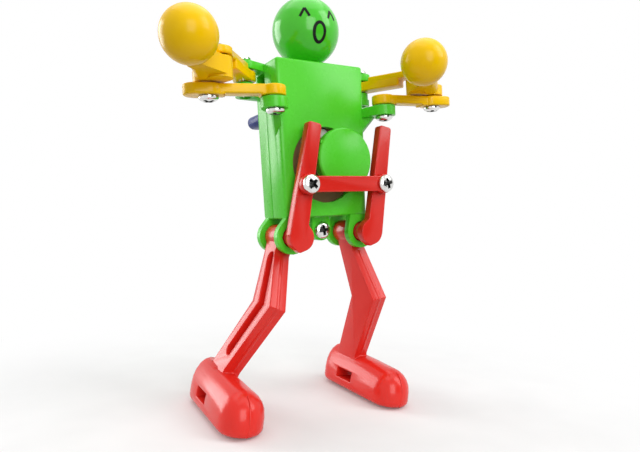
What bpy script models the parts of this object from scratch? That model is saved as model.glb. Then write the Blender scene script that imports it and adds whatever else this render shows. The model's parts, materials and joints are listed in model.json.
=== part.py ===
"""A clockwork dancing robot: a plastic toy about 10 cm tall.

A wound spring turns a round cam between two levers on the front of the body.
The levers are fixed to the legs and tied by a link bar, so both legs rock
sideways together and the robot dances from shoe to shoe. Each arm is a flat
linkage of two bars that swings a ball fist backwards and forwards.

Metres, +Z up. The robot looks along -Y and its own left hand is at +X. The
pieces are drawn in the body's frame (front face at y = 0, underside at z = 0)
and hang from one empty, which leans the robot until both shoes meet the floor.
"""
import math

import bmesh
import bpy
from mathutils import Matrix, Vector

mm = 0.001

# Clearances
GAP = 0.3 * mm              # running gap between pieces that move past each other
SEAT = 0.15 * mm            # gap under a screw head or a part that is clamped

# Body shells
BODY_TOP_WIDTH = 24.0 * mm
BODY_BOTTOM_WIDTH = 22.9 * mm
BODY_HEIGHT = 36.7 * mm
FRONT_DEPTH = 6.5 * mm      # front face to the parting line
REAR_DEPTH = 5.3 * mm       # parting line to the back
WALL = 1.5 * mm
BODY_EDGE = 0.7 * mm        # rounding of the outer edges

# Head
HEAD_RADIUS = 8.25 * mm
HEAD_RISE = 8.7 * mm        # middle of the head above the body's top
NECK_RADIUS = 2.7 * mm
NECK_FLANGE_RADIUS = 3.6 * mm
NECK_FLANGE_HEIGHT = 0.8 * mm

# Screws: one pan-head self-tapping size throughout
SCREW_HEAD_RADIUS = 2.1 * mm
SCREW_HEAD_HEIGHT = 1.1 * mm
SCREW_SHANK_RADIUS = 1.1 * mm
SCREW_TIP = 0.8 * mm        # length of the pointed end

# Hips, legs and shoes, given for the robot's left leg with the levers upright
HIP_X = 9.8 * mm
HIP_DROP = 4.2 * mm         # hip axis below the body's underside
HIP_RING_RADIUS = 4.05 * mm
HIP_RING_THICKNESS = 1.8 * mm
HIP_RING_INSET = 0.3 * mm   # front ring behind the front face
HIP_RING_SPREAD = 9.1 * mm  # front ring's front to rear ring's front
HIP_SHAFT_RADIUS = 2.3 * mm
HIP_HUB_RADIUS = 2.9 * mm
LEVER_STUB_RADIUS = 1.4 * mm
LEG_SPLAY = math.radians(14.6)
LEG_WIDTH = 4.1 * mm
THIGH_DEPTH = 6.6 * mm
KNEE_DEPTH = 9.2 * mm
SHIN_DEPTH = 7.8 * mm
KNEE_DOWN = 16.5 * mm       # hip to knee along the leg
ANKLE_DOWN = 32.8 * mm      # hip to ankle along the leg
KNEE_FORWARD = 5.95 * mm    # middle of the knee in front of the middle of the hub
ANKLE_BACK = 3.6 * mm       # middle of the ankle behind the middle of the hub
LEG_SLOT_WIDTH = 2.6 * mm
LEG_SLOT_DEPTH = 2.2 * mm
LEG_SLOT_TOP = 4.5 * mm     # hip to the slot's upper end, along the leg
LEG_SLOT_BOTTOM = 29.8 * mm
SOLE_DROP = 41.2 * mm       # hip axis to the sole
SHOE_TOE_RADIUS = 4.9 * mm
SHOE_HEEL_RADIUS = 4.2 * mm
SHOE_SPAN = 20.8 * mm       # between the middles of the heel and toe rounds
SHOE_HEEL_BACK = 6.2 * mm   # middle of the heel round behind the middle of the ankle
SHOE_HEIGHT = 8.6 * mm      # at the toe
SHOE_HEEL_HEIGHT = 10.2 * mm
SHOE_SIDE = 3.4 * mm        # upright part of the shoe's side
SHOE_TOE_OUT = math.radians(1.0)
SHOE_OUT = 1.3 * mm         # shoe's middle line outside the middle of the ankle
SOLE_EDGE = 1.4 * mm        # rounding between the sole and the sides
SHOE_FLAT_DEPTH = 0.6 * mm  # flat in front of the ankle, below the shoe's ridge
SHOE_WINDOW_LENGTH = 6.5 * mm
SHOE_WINDOW_HEIGHT = 2.5 * mm
SHOE_WINDOW_START = 4.4 * mm  # middle of the heel round to the window
SHOE_WINDOW_RISE = 2.4 * mm   # sole to the window
ANKLE_SINK = 1.6 * mm         # leg inside the shoe

# Levers, link bar and cam
SWAY_REST = math.radians(11.5)  # lean of the levers to the robot's left, as it stands
LEVER_STANDOFF = 2.0 * mm       # lever's back in front of the body
LEVER_THICKNESS = 2.2 * mm
LEVER_HEIGHT = 26.2 * mm
LEVER_TOP_WIDTH = 3.5 * mm
LEVER_FOOT_WIDTH = 4.5 * mm
LEVER_DISC_RADIUS = 3.1 * mm
LEVER_HUB_RADIUS = 2.4 * mm
LEVER_FOOT_OFFSET = 0.9 * mm    # lever's middle line outside the hip axis, at the foot
LEVER_TOP_OFFSET = 0.35 * mm
LEVER_CORNER = 0.7 * mm
LINK_HEIGHT = 11.9 * mm         # hip axis to the link screws
LINK_BAR_THICKNESS = 1.6 * mm
LINK_BAR_WIDTH = 3.6 * mm
LINK_EYE_RADIUS = 2.3 * mm
CAM_RADIUS = 7.4 * mm
CAM_THICKNESS = 2.3 * mm
CAM_OFFSET = 3.2 * mm           # eccentricity
CAM_RISE = math.radians(17.0)   # offset direction above the robot's left, as it stands
CAM_AXIS_HEIGHT = 12.4 * mm     # cam shaft above the underside
CAM_WINDOW_RADIUS = 9.0 * mm

# Arms, given for the robot's left arm
FRONT_PIVOT = (14.9 * mm, -3.9 * mm)
REAR_PIVOT = (16.6 * mm, 7.4 * mm)
FRONT_BAR_LENGTH = 13.9 * mm
FIST_LINK = 4.5 * mm            # between the fist's two pivots
REAR_BAR_LENGTH = 15.4 * mm
FIST_STEM_ANGLE = math.radians(47.0)  # stem, seen from the line to the second pivot
STEM_LENGTH = 15.7 * mm         # outer pivot to the middle of the ball
ARM_REST_LEFT = math.radians(-11.0)   # front bars as photographed, + is backwards
ARM_REST_RIGHT = math.radians(17.0)
LOWER_LUG_DROP = 12.7 * mm      # body's top to the lower lug's underside
LOWER_LUG_THICKNESS = 2.3 * mm
LOWER_LUG_RADIUS = 3.0 * mm
GUSSET_DROP = 6.0 * mm
GUSSET_THICKNESS = 1.6 * mm
FRONT_BAR_THICKNESS = 2.3 * mm
FRONT_BAR_WIDTH = 3.8 * mm
FRONT_BAR_RELIEF = 0.3 * mm     # the middle is thinner from below
BAR_EYE_RADIUS = 2.65 * mm
OUTER_EYE_STRETCH = 2.9 * mm
OUTER_EYE_INSIDE = 0.5 * mm
FIST_BOSS_RADIUS = 2.9 * mm
FIST_BOSS_HEIGHT = 2.5 * mm
FIST_BASE_HEIGHT = 2.4 * mm
FIST_LUG_HEIGHT = 4.3 * mm
FIST_LUG_RADIUS = 2.5 * mm
STEM_START = 2.2 * mm           # outer pivot to the stem's start
STEM_START_RADIUS = 2.1 * mm
STEM_END_RADIUS = 2.3 * mm
BALL_RADIUS = 5.35 * mm
BALL_RISE = 4.6 * mm            # middle of the ball above the fist's underside
ELBOW_PIN_RADIUS = 0.9 * mm
ELBOW_PIN_DEPTH = 3.0 * mm      # pin inside the fist's lug
ELBOW_PIN_PROUD = 0.6 * mm
REAR_BAR_THICKNESS = 3.3 * mm
REAR_BAR_WIDTH = 4.4 * mm
REAR_EYE_THICKNESS = 2.3 * mm   # inner eye, at the bar's lower side
REAR_TIP_THICKNESS = 1.6 * mm   # outer eye, at the bar's upper side
ELBOW_SLACK = 0.85 * mm         # play of the elbow pin in the outer eye
UPPER_LUG_THICKNESS = 1.9 * mm
UPPER_LUG_RADIUS = 2.7 * mm
TONGUE_DROP = 8.2 * mm          # body's top to the tongue's underside
TONGUE_THICKNESS = 1.6 * mm
TONGUE_RADIUS = 2.3 * mm

# Clockwork
PLATE_THICKNESS = 1.0 * mm
PLATE_WIDTH = 19.0 * mm
PLATE_DROP = 4.6 * mm           # body's top to the top of the motor's plates
PILLAR_RADIUS = 1.2 * mm
GEAR_MODULE = 0.4 * mm
PINION_TEETH = 10
GREAT_WHEEL_TEETH = 26
TRANSFER_TEETH = 28
ARBOR_X = -4.2 * mm             # winding arbor, on the robot's right of the middle
ARBOR_Z = 25.0 * mm
GEAR_THICKNESS = 1.1 * mm
SHAFT_RADIUS = 1.2 * mm
SPRING_TURNS = 4
SPRING_STRIP = 0.25 * mm
SPRING_HEIGHT = 1.8 * mm
SPRING_PITCH = 0.85 * mm
KNOB_REACH = 6.6 * mm           # arbor to the tip of a wing
KNOB_WING = 3.3 * mm            # thickness of a wing
KNOB_CORE_RADIUS = 2.8 * mm
KNOB_LENGTH = 7.4 * mm
KNOB_COLLAR_RADIUS = 4.0 * mm
KNOB_COLLAR_LENGTH = 1.4 * mm

# Places that follow from the sizes above
BODY_DEPTH = FRONT_DEPTH + REAR_DEPTH
SHANK_HOLE = SCREW_SHANK_RADIUS + GAP
HIP_BORE_RADIUS = HIP_SHAFT_RADIUS + GAP
HIP_Z = -HIP_DROP
REAR_RING_FRONT = HIP_RING_INSET + HIP_RING_SPREAD
HUB_FRONT = HIP_RING_INSET + HIP_RING_THICKNESS + GAP
HUB_BACK = REAR_RING_FRONT - GAP
LEVER_BACK = -LEVER_STANDOFF
LEVER_FRONT = LEVER_BACK - LEVER_THICKNESS
LINK_BAR_BACK = LEVER_FRONT - GAP
LINK_BAR_FRONT = LINK_BAR_BACK - LINK_BAR_THICKNESS
LINK_OFFSET = LEVER_FOOT_OFFSET + (LEVER_TOP_OFFSET - LEVER_FOOT_OFFSET) * LINK_HEIGHT / LEVER_HEIGHT
CAM_FRONT = LEVER_FRONT
CAM_BACK = CAM_FRONT + CAM_THICKNESS
LOWER_LUG_BOTTOM = BODY_HEIGHT - LOWER_LUG_DROP
FRONT_BAR_BOTTOM = LOWER_LUG_BOTTOM + LOWER_LUG_THICKNESS + GAP
FRONT_BAR_TOP = FRONT_BAR_BOTTOM + FRONT_BAR_THICKNESS
FIST_BOTTOM = FRONT_BAR_TOP + GAP
REAR_TIP_BOTTOM = FIST_BOTTOM + FIST_LUG_HEIGHT + GAP
REAR_BAR_TOP = REAR_TIP_BOTTOM + REAR_TIP_THICKNESS
REAR_BAR_BOTTOM = REAR_BAR_TOP - REAR_BAR_THICKNESS
UPPER_LUG_BOTTOM = BODY_HEIGHT - UPPER_LUG_THICKNESS
TONGUE_BOTTOM = BODY_HEIGHT - TONGUE_DROP
TONGUE_TOP = TONGUE_BOTTOM + TONGUE_THICKNESS
BOSS_RADIUS = SCREW_HEAD_RADIUS + 0.5 * mm
BOSS_Z = -BOSS_RADIUS - 0.65 * mm
BOSS_FRONT = 2 * WALL + 0.4 * mm
PLATE_FRONT = WALL + GAP
PLATE_BACK = BODY_DEPTH - WALL - GAP
PLATE_BOTTOM = WALL + GAP
PLATE_TOP = BODY_HEIGHT - PLATE_DROP
PINION_RADIUS = PINION_TEETH * GEAR_MODULE / 2
GREAT_WHEEL_RADIUS = GREAT_WHEEL_TEETH * GEAR_MODULE / 2
TRANSFER_RADIUS = TRANSFER_TEETH * GEAR_MODULE / 2

# Colours, as linear RGB
GREEN = (0.10, 0.58, 0.04)
YELLOW = (0.95, 0.62, 0.01)
RED = (0.76, 0.025, 0.02)
STEEL = (0.72, 0.72, 0.70)
BROWN = (0.20, 0.11, 0.045)
BLUE = (0.03, 0.06, 0.25)
BRASS = (0.68, 0.45, 0.15)
WHITE = (0.78, 0.76, 0.70)
DARK_STEEL = (0.10, 0.10, 0.10)


def clear_scene():
    for item in list(bpy.data.objects):
        bpy.data.objects.remove(item, do_unlink=True)


def plastic(name, colour, roughness=0.25, metallic=0.0):
    """A Principled material for one piece."""
    material = bpy.data.materials.new(name)
    material.use_nodes = True
    shader = material.node_tree.nodes["Principled BSDF"]
    shader.inputs["Base Color"].default_value = (*colour, 1.0)
    shader.inputs["Roughness"].default_value = roughness
    shader.inputs["Metallic"].default_value = metallic
    return material


# Outlines: lists of (u, v) points, anticlockwise

def circle(u, v, radius, count=24):
    step = 2 * math.pi / count
    return [(u + radius * math.cos(i * step), v + radius * math.sin(i * step)) for i in range(count)]


def hull(points):
    """Convex outline round the points."""
    ordered = sorted(set(points))

    def half(run):
        chain = []
        for p in run:
            while len(chain) > 1:
                a, b = chain[-2], chain[-1]
                if (b[0] - a[0]) * (p[1] - a[1]) - (b[1] - a[1]) * (p[0] - a[0]) > 1e-12:
                    break
                chain.pop()
            chain.append(p)
        return chain[:-1]

    return half(ordered) + half(ordered[::-1])


def round_hull(*discs, count=24, corners=()):
    """Outline stretched round discs (u, v, radius) and single corner points."""
    points = list(corners)
    for u, v, radius in discs:
        points += circle(u, v, radius, count)
    return hull(points)


def rectangle(u0, u1, v0, v1):
    return [(u0, v0), (u1, v0), (u1, v1), (u0, v1)]


def arc(u, v, radius, start, stop, count=12):
    step = (stop - start) / count
    return [(u + radius * math.cos(start + i * step), v + radius * math.sin(start + i * step))
            for i in range(count + 1)]


def dog_bone(length, radius, half, stretch_from=None, stretch=0.0):
    """Bar of half width half between round eyes; the far eye can be stretched along the bar."""
    near = length if stretch_from is None else stretch_from
    shoulder = math.asin(half / radius)
    quarter = math.pi / 2
    points = arc(near, 0, radius, shoulder - math.pi, -quarter, 6)
    points += arc(near + stretch, 0, radius, -quarter, quarter)
    points += arc(near, 0, radius, quarter, math.pi - shoulder, 6)
    points += arc(0, 0, radius, shoulder, 2 * math.pi - shoulder, 20)
    return tidy_outline(points)


def pill(start, stop, start_radius, stop_radius, count=10):
    """Round-ended outline between two circles, always with the same number of points."""
    a, b = Vector(start), Vector(stop)
    run = b - a
    heading = math.atan2(run.y, run.x)
    lean = math.asin((stop_radius - start_radius) / run.length)
    open_end = math.pi / 2 + lean
    points = arc(b.x, b.y, stop_radius, heading - open_end, heading + open_end, count)
    return points + arc(a.x, a.y, start_radius, heading + open_end, heading + 2 * math.pi - open_end, count)


def tidy_outline(points):
    """Leave out points that repeat the one before."""
    kept = []
    for p in points:
        if not kept or math.dist(p, kept[-1]) > 1e-7:
            kept.append(p)
    if math.dist(kept[0], kept[-1]) < 1e-7:
        kept.pop()
    return kept


def star_union(middle, *outlines):
    """Outline round several convex outlines that all hold the point middle."""
    corners = [(u - middle[0], v - middle[1]) for outline in outlines for u, v in outline]
    angles = sorted({round(math.atan2(dv, du), 6) for du, dv in corners})
    points = []
    for angle in angles:
        du, dv = math.cos(angle), math.sin(angle)
        reach = 0.0
        for outline in outlines:
            for (u0, v0), (u1, v1) in zip(outline, outline[1:] + outline[:1]):
                eu, ev = u1 - u0, v1 - v0
                cross = du * ev - dv * eu
                if abs(cross) < 1e-15:
                    continue
                along = ((u0 - middle[0]) * ev - (v0 - middle[1]) * eu) / cross
                share = ((u0 - middle[0]) * dv - (v0 - middle[1]) * du) / cross
                if -1e-6 <= share <= 1 + 1e-6:
                    reach = max(reach, along)
        points.append((middle[0] + reach * du, middle[1] + reach * dv))
    return tidy_outline(points)


def gear_outline(u, v, teeth, tooth_angle):
    """Short straight-sided teeth with backlash; one tooth points along tooth_angle."""
    pitch = 2 * math.pi / teeth
    middle = teeth * GEAR_MODULE / 2
    root = middle - 1.15 * GEAR_MODULE
    tip = middle + 0.75 * GEAR_MODULE
    points = []
    for i in range(teeth):
        for share, radius in ((-0.27, root), (-0.11, tip), (0.11, tip), (0.27, root)):
            angle = tooth_angle + (i + share) * pitch
            points.append((u + radius * math.cos(angle), v + radius * math.sin(angle)))
    return points


# Solids: every function gives a closed mesh

def mesh_from(bm, name="solid"):
    bmesh.ops.remove_doubles(bm, verts=bm.verts, dist=1e-7)
    bmesh.ops.recalc_face_normals(bm, faces=bm.faces)
    mesh = bpy.data.meshes.new(name)
    bm.to_mesh(mesh)
    bm.free()
    return mesh


def loft(rings):
    """Skin a list of rings that have equal numbers of points, with flat ends."""
    bm = bmesh.new()
    rows = [[bm.verts.new(p) for p in ring] for ring in rings]
    for lower, upper in zip(rows, rows[1:]):
        for i in range(len(lower)):
            j = (i + 1) % len(lower)
            bm.faces.new((lower[i], lower[j], upper[j], upper[i]))
    bm.faces.new(rows[0][::-1])
    bm.faces.new(rows[-1])
    return mesh_from(bm)


def prism(outline, low, high, along="Z"):
    """Extrude an outline: (x, y) along Z, (x, z) along Y or (y, z) along X."""
    place = {
        "Z": lambda p, h: (p[0], p[1], h),
        "Y": lambda p, h: (p[0], h, p[1]),
        "X": lambda p, h: (h, p[0], p[1]),
    }[along]
    return loft([[place(p, low) for p in outline], [place(p, high) for p in outline]])


def turned(profile, count=24, centre=(0, 0, 0), along="Z"):
    """Turn a (radius, height) profile; a radius of 0 closes on the axis."""
    bm = bmesh.new()
    rows = []
    for radius, height in profile:
        around = 1 if radius == 0 else count
        row = []
        for i in range(around):
            angle = 2 * math.pi * i / count
            a, b = radius * math.cos(angle), radius * math.sin(angle)
            spot = (a, b, height) if along == "Z" else (a, height, b)
            row.append(bm.verts.new(Vector(centre) + Vector(spot)))
        rows.append(row)
    for lower, upper in zip(rows, rows[1:]):
        for i in range(count):
            j = (i + 1) % count
            corners = [lower[i % len(lower)], lower[j % len(lower)]]
            corners += [upper[j % len(upper)], upper[i % len(upper)]]
            bm.faces.new(list(dict.fromkeys(corners)))
    for row, flip in ((rows[0], True), (rows[-1], False)):
        if len(row) > 1:
            bm.faces.new(row[::-1] if flip else row)
    return mesh_from(bm)


def rod(radius, low, high, u, v, along="Y", count=20):
    return prism(circle(u, v, radius, count), low, high, along)


def ball(radius, centre, rings=12, count=24):
    """Sphere with its poles up and down."""
    steps = [math.pi * i / rings for i in range(rings + 1)]
    profile = [(radius * math.sin(a), -radius * math.cos(a)) for a in steps]
    profile[0] = (0, -radius)
    profile[-1] = (0, radius)
    return turned(profile, count, centre)


def tapered_block(front, back, inset=0.0):
    """The body's wedge between two depths, drawn in by inset on its other four sides."""
    low, high = inset, BODY_HEIGHT - inset
    low_half, high_half = half_width(low) - inset, half_width(high) - inset
    outline = [(-low_half, low), (low_half, low), (high_half, high), (-high_half, high)]
    return prism(outline, front, back, "Y")


def round_edges(mesh, width, pick, segments=2):
    """Bevel the edges for which pick(start, end) is true."""
    bm = bmesh.new()
    bm.from_mesh(mesh)
    edges = [e for e in bm.edges if pick(e.verts[0].co, e.verts[1].co)]
    bmesh.ops.bevel(bm, geom=edges, offset=width, segments=segments, profile=0.5, affect="EDGES")
    bm.to_mesh(mesh)
    bm.free()
    return mesh


def moved(mesh, matrix):
    mesh.transform(matrix)
    return mesh


def mirrored(mesh):
    """The same piece for the other side of the robot."""
    copy = mesh.copy()
    copy.transform(Matrix.Scale(-1, 4, (1, 0, 0)))
    copy.flip_normals()
    return copy


def carve(base, *steps):
    """Apply ("UNION" or "DIFFERENCE", mesh) steps to a mesh, in order."""
    scene = bpy.context.scene.collection
    work = bpy.data.objects.new("work", base)
    scene.objects.link(work)
    tools = []
    for operation, mesh in steps:
        tool = bpy.data.objects.new("tool", mesh)
        scene.objects.link(tool)
        tools.append(tool)
        step = work.modifiers.new(operation, "BOOLEAN")
        step.operation = operation
        step.object = tool
        step.solver = "EXACT"
    bpy.context.view_layer.update()
    graph = bpy.context.evaluated_depsgraph_get()
    result = bpy.data.meshes.new_from_object(work.evaluated_get(graph), depsgraph=graph)
    for item in [work] + tools:
        bpy.data.objects.remove(item, do_unlink=True)
    bm = bmesh.new()
    bm.from_mesh(result)
    bmesh.ops.remove_doubles(bm, verts=bm.verts, dist=2e-6)
    bmesh.ops.dissolve_degenerate(bm, edges=bm.edges, dist=1e-6)
    bm.to_mesh(result)
    bm.free()
    return result


def add(mesh):
    return ("UNION", mesh)


def cut(mesh):
    return ("DIFFERENCE", mesh)


def empty(name, parent=None, location=(0, 0, 0), rotation=(0, 0, 0)):
    item = bpy.data.objects.new(name, None)
    bpy.context.scene.collection.objects.link(item)
    item.parent = parent
    item.location = location
    item.rotation_euler = rotation
    return item


def piece(name, mesh, parent, colour, roughness=0.25, metallic=0.0):
    """One named part of the toy, with its own material."""
    mesh.name = name
    mesh.shade_smooth()
    mesh.set_sharp_from_angle(angle=math.radians(32))
    mesh.materials.clear()
    mesh.materials.append(plastic(name, colour, roughness, metallic))
    item = bpy.data.objects.new(name, mesh)
    bpy.context.scene.collection.objects.link(item)
    item.parent = parent
    return item


def half_width(z):
    """Half the body's width at a height."""
    share = z / BODY_HEIGHT
    return (BODY_BOTTOM_WIDTH + (BODY_TOP_WIDTH - BODY_BOTTOM_WIDTH) * share) / 2


def both_sides(make):
    """A step for the robot's left and the mirrored step for its right."""
    operation, mesh = make
    return [(operation, mesh), (operation, mirrored(mesh))]


# Body shells

def hip_ring(front, back):
    """Ring lug under the body that carries one end of a leg's hip shaft."""
    inner = HIP_X - 3.0 * mm
    outer = half_width(0) - BODY_EDGE
    root = WALL / 2
    outline = round_hull((HIP_X, HIP_Z, HIP_RING_RADIUS), corners=((inner, root), (outer, root)))
    return prism(outline, front, back, "Y")


def hip_bore(front, back):
    return rod(HIP_BORE_RADIUS, front - mm, back + mm, HIP_X, HIP_Z, count=24)


def neck_hole():
    return rod(NECK_RADIUS + GAP, BODY_HEIGHT - 2 * WALL, BODY_HEIGHT + mm, 0, FRONT_DEPTH, "Z", 24)


def side_window(front, back):
    """Opening in the side wall between the rear pivot's two lugs."""
    low = TONGUE_TOP + 0.8 * mm
    high = UPPER_LUG_BOTTOM - GAP
    return prism(rectangle(front, back, low, high), half_width(low) - 2 * WALL, BODY_TOP_WIDTH, "X")


def screw_boss(front, back):
    """Boss under the body for the screw that holds the shells together."""
    root = ((-BOSS_RADIUS, WALL / 2), (BOSS_RADIUS, WALL / 2))
    outline = round_hull((0, BOSS_Z, BOSS_RADIUS), corners=root)
    return prism(outline, front, back, "Y")


def gusset():
    """Tapered rib under the lower lug, towards the body's corner."""
    root = Vector((half_width(LOWER_LUG_BOTTOM) - WALL / 2, FRONT_DEPTH / 3, 0))
    tip = Vector((*FRONT_PIVOT, 0))
    run = tip - root
    reach = run.length - SCREW_HEAD_RADIUS - 2 * GAP
    top = LOWER_LUG_BOTTOM + LOWER_LUG_THICKNESS / 2
    outline = [(0, top - GUSSET_DROP), (reach, LOWER_LUG_BOTTOM - GAP), (reach, top), (0, top)]
    rib = prism(outline, -GUSSET_THICKNESS / 2, GUSSET_THICKNESS / 2, "Y")
    turn = Matrix.Rotation(math.atan2(run.y, run.x), 4, "Z")
    return moved(rib, Matrix.Translation(root) @ turn)


def shell_block(front, back, outside):
    """Half of the body's outside, with its edges rounded away from the parting line."""
    shell = tapered_block(front, back)

    def chosen(a, b):
        along_depth = abs(a.y - b.y) > mm
        on_outside = abs(a.y - outside) < mm and abs(b.y - outside) < mm
        return along_depth or on_outside

    return round_edges(shell, BODY_EDGE, chosen)


def front_shell():
    back = FRONT_DEPTH - SEAT / 2
    pivot_x, pivot_y = FRONT_PIVOT
    lug_top = LOWER_LUG_BOTTOM + LOWER_LUG_THICKNESS
    root_x = half_width(LOWER_LUG_BOTTOM) - WALL / 2
    root = ((root_x, BODY_EDGE), (root_x, FRONT_DEPTH - 2 * mm))
    lug = prism(round_hull((pivot_x, pivot_y, LOWER_LUG_RADIUS), corners=root), LOWER_LUG_BOTTOM, lug_top)
    lug_hole = rod(SHANK_HOLE, LOWER_LUG_BOTTOM - mm, lug_top + mm, pivot_x, pivot_y, "Z")
    ring_back = HIP_RING_INSET + HIP_RING_THICKNESS
    steps = [cut(tapered_block(WALL, FRONT_DEPTH + mm, WALL))]
    steps += both_sides(add(lug)) + both_sides(add(gusset())) + both_sides(cut(lug_hole))
    steps += both_sides(add(hip_ring(HIP_RING_INSET, ring_back)))
    steps += both_sides(cut(hip_bore(HIP_RING_INSET, ring_back)))
    steps += [add(screw_boss(BOSS_FRONT, back - GAP))]
    steps += [cut(rod(SHANK_HOLE, BOSS_FRONT - mm, FRONT_DEPTH + mm, 0, BOSS_Z))]
    steps += [cut(rod(CAM_WINDOW_RADIUS, -mm, WALL + mm, 0, CAM_AXIS_HEIGHT, count=48))]
    steps += [cut(neck_hole())]
    return carve(shell_block(0, back, 0), *steps)


def rear_shell():
    front = FRONT_DEPTH + SEAT / 2
    pivot_x, pivot_y = REAR_PIVOT
    root_x = half_width(TONGUE_BOTTOM) - WALL / 2
    root = ((root_x, front + GAP), (root_x, BODY_DEPTH - 2 * BODY_EDGE))
    lug_outline = round_hull((pivot_x, pivot_y, UPPER_LUG_RADIUS), corners=root)
    lug = prism(lug_outline, UPPER_LUG_BOTTOM, BODY_HEIGHT - 0.1 * mm)
    tongue = prism(round_hull((pivot_x, pivot_y, TONGUE_RADIUS), corners=root), TONGUE_BOTTOM, TONGUE_TOP)
    post = rod(TONGUE_RADIUS - GAP, TONGUE_TOP - GAP, REAR_BAR_BOTTOM - GAP, pivot_x, pivot_y, "Z")
    hole = rod(SHANK_HOLE, TONGUE_BOTTOM - mm, BODY_HEIGHT + mm, pivot_x, pivot_y, "Z")
    ring_back = REAR_RING_FRONT + HIP_RING_THICKNESS
    steps = [cut(tapered_block(FRONT_DEPTH - mm, BODY_DEPTH - WALL, WALL))]
    steps += both_sides(cut(side_window(FRONT_DEPTH - mm, BODY_DEPTH - 2 * BODY_EDGE)))
    steps += both_sides(add(lug)) + both_sides(add(tongue)) + both_sides(add(post)) + both_sides(cut(hole))
    steps += both_sides(add(hip_ring(REAR_RING_FRONT, ring_back)))
    steps += both_sides(cut(hip_bore(REAR_RING_FRONT, ring_back)))
    steps += [add(screw_boss(front + GAP, BODY_DEPTH - WALL))]
    steps += [cut(rod(SHANK_HOLE, FRONT_DEPTH - mm, BODY_DEPTH - 2 * WALL, 0, BOSS_Z))]
    steps += [cut(rod(SHAFT_RADIUS + GAP, BODY_DEPTH - 2 * WALL, BODY_DEPTH + mm, ARBOR_X, ARBOR_Z))]
    steps += [cut(neck_hole())]
    return carve(shell_block(front, BODY_DEPTH, BODY_DEPTH), *steps)


def head():
    """Ball head on a flanged neck that the two shells clamp."""
    centre = BODY_HEIGHT + HEAD_RISE
    flange_top = BODY_HEIGHT - WALL - SEAT
    flange_bottom = flange_top - NECK_FLANGE_HEIGHT
    profile = [(0, flange_bottom), (NECK_FLANGE_RADIUS, flange_bottom), (NECK_FLANGE_RADIUS, flange_top)]
    profile += [(NECK_RADIUS, flange_top)]
    start = math.asin(NECK_RADIUS / HEAD_RADIUS)
    rings = 14
    for i in range(rings):
        angle = start + (math.pi - start) * i / rings
        profile.append((HEAD_RADIUS * math.sin(angle), centre - HEAD_RADIUS * math.cos(angle)))
    profile.append((0, centre + HEAD_RADIUS))
    return turned(profile, 28, (0, FRONT_DEPTH, 0))


# Screws

def screw(length):
    """Pan-head screw: the head rests on z = 0 and the shank points down."""
    dome = SCREW_HEAD_HEIGHT
    profile = [(0, -length), (SCREW_SHANK_RADIUS, -length + SCREW_TIP), (SCREW_SHANK_RADIUS, 0)]
    profile += [(SCREW_HEAD_RADIUS, 0), (SCREW_HEAD_RADIUS, dome * 0.35)]
    profile += [(SCREW_HEAD_RADIUS * 0.78, dome * 0.8), (0, dome)]
    return turned(profile, 14)


def drive_screw(name, length, parent, seat, direction):
    """Set a screw with its head on seat, its shank pointing along direction."""
    item = piece(name, screw(length), parent, STEEL, 0.22, 1.0)
    item.location = Vector(seat)
    item.rotation_euler = Vector(direction).to_track_quat("-Z", "Y").to_euler()
    return item


# Legs, levers and link bar, in a frame whose Y axis is the hip axis

def leg_paths():
    """Front edge, back edge and middle line of the leg as (y, height) points along it."""
    middle = (HUB_FRONT + HUB_BACK) / 2
    knee, ankle = middle - KNEE_FORWARD, middle + ANKLE_BACK
    clear_of_ring = -HIP_RING_RADIUS - GAP
    front = [(HUB_FRONT, 0), (HUB_FRONT, clear_of_ring), (knee - KNEE_DEPTH / 2, -KNEE_DOWN)]
    front += [(ankle - SHIN_DEPTH / 2, -ANKLE_DOWN)]
    back = [(HUB_FRONT + THIGH_DEPTH, 0), (knee + KNEE_DEPTH / 2, -KNEE_DOWN)]
    back += [(ankle + SHIN_DEPTH / 2, -ANKLE_DOWN)]
    line = [(HUB_FRONT + THIGH_DEPTH / 2, 0), (knee, -KNEE_DOWN), (ankle, -ANKLE_DOWN)]
    return front, back, line


def point_on(line, down):
    """Point of a line at a distance below the hip."""
    first, second, third = line
    a, b = (first, second) if down < -second[1] else (second, third)
    share = (down + a[1]) / (a[1] - b[1])
    return (a[0] + (b[0] - a[0]) * share, -down)


def slot_outline():
    """Bent slot that follows the leg's middle line, with round ends."""
    line = leg_paths()[2]
    half = LEG_SLOT_WIDTH / 2
    knee = Vector(line[1])
    top = Vector(point_on(line, LEG_SLOT_TOP + half))
    bottom = Vector(point_on(line, LEG_SLOT_BOTTOM - half))
    thigh, shin = (knee - top).normalized(), (bottom - knee).normalized()
    n1, n2 = Vector((thigh.y, -thigh.x)), Vector((shin.y, -shin.x))
    mitre = (n1 + n2) * half / (1 + n1.dot(n2))
    up = math.atan2(n1.y, n1.x)
    down = math.atan2(n2.y, n2.x)
    points = arc(top.x, top.y, half, up, up - math.pi)
    points += [tuple(knee - mitre)]
    points += arc(bottom.x, bottom.y, half, down - math.pi, down - 2 * math.pi)
    points += [tuple(knee + mitre)]
    return points[::-1]


def shoe_frame():
    """Middle of the heel round on the sole, with -Y towards the toe."""
    ankle_x = math.sin(LEG_SPLAY) * ANKLE_DOWN + SHOE_OUT
    ankle_y = (HUB_FRONT + HUB_BACK) / 2 + ANKLE_BACK
    turn = Matrix.Translation((ankle_x, ankle_y, -SOLE_DROP)) @ Matrix.Rotation(SHOE_TOE_OUT, 4, "Z")
    return turn @ Matrix.Translation((0, SHOE_HEEL_BACK, 0))


def shoe_ridge(y):
    """Height of the shoe's ridge, which falls from the heel to the toe."""
    return SHOE_HEEL_HEIGHT + (SHOE_HEEL_HEIGHT - SHOE_HEIGHT) * y / SHOE_SPAN


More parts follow.
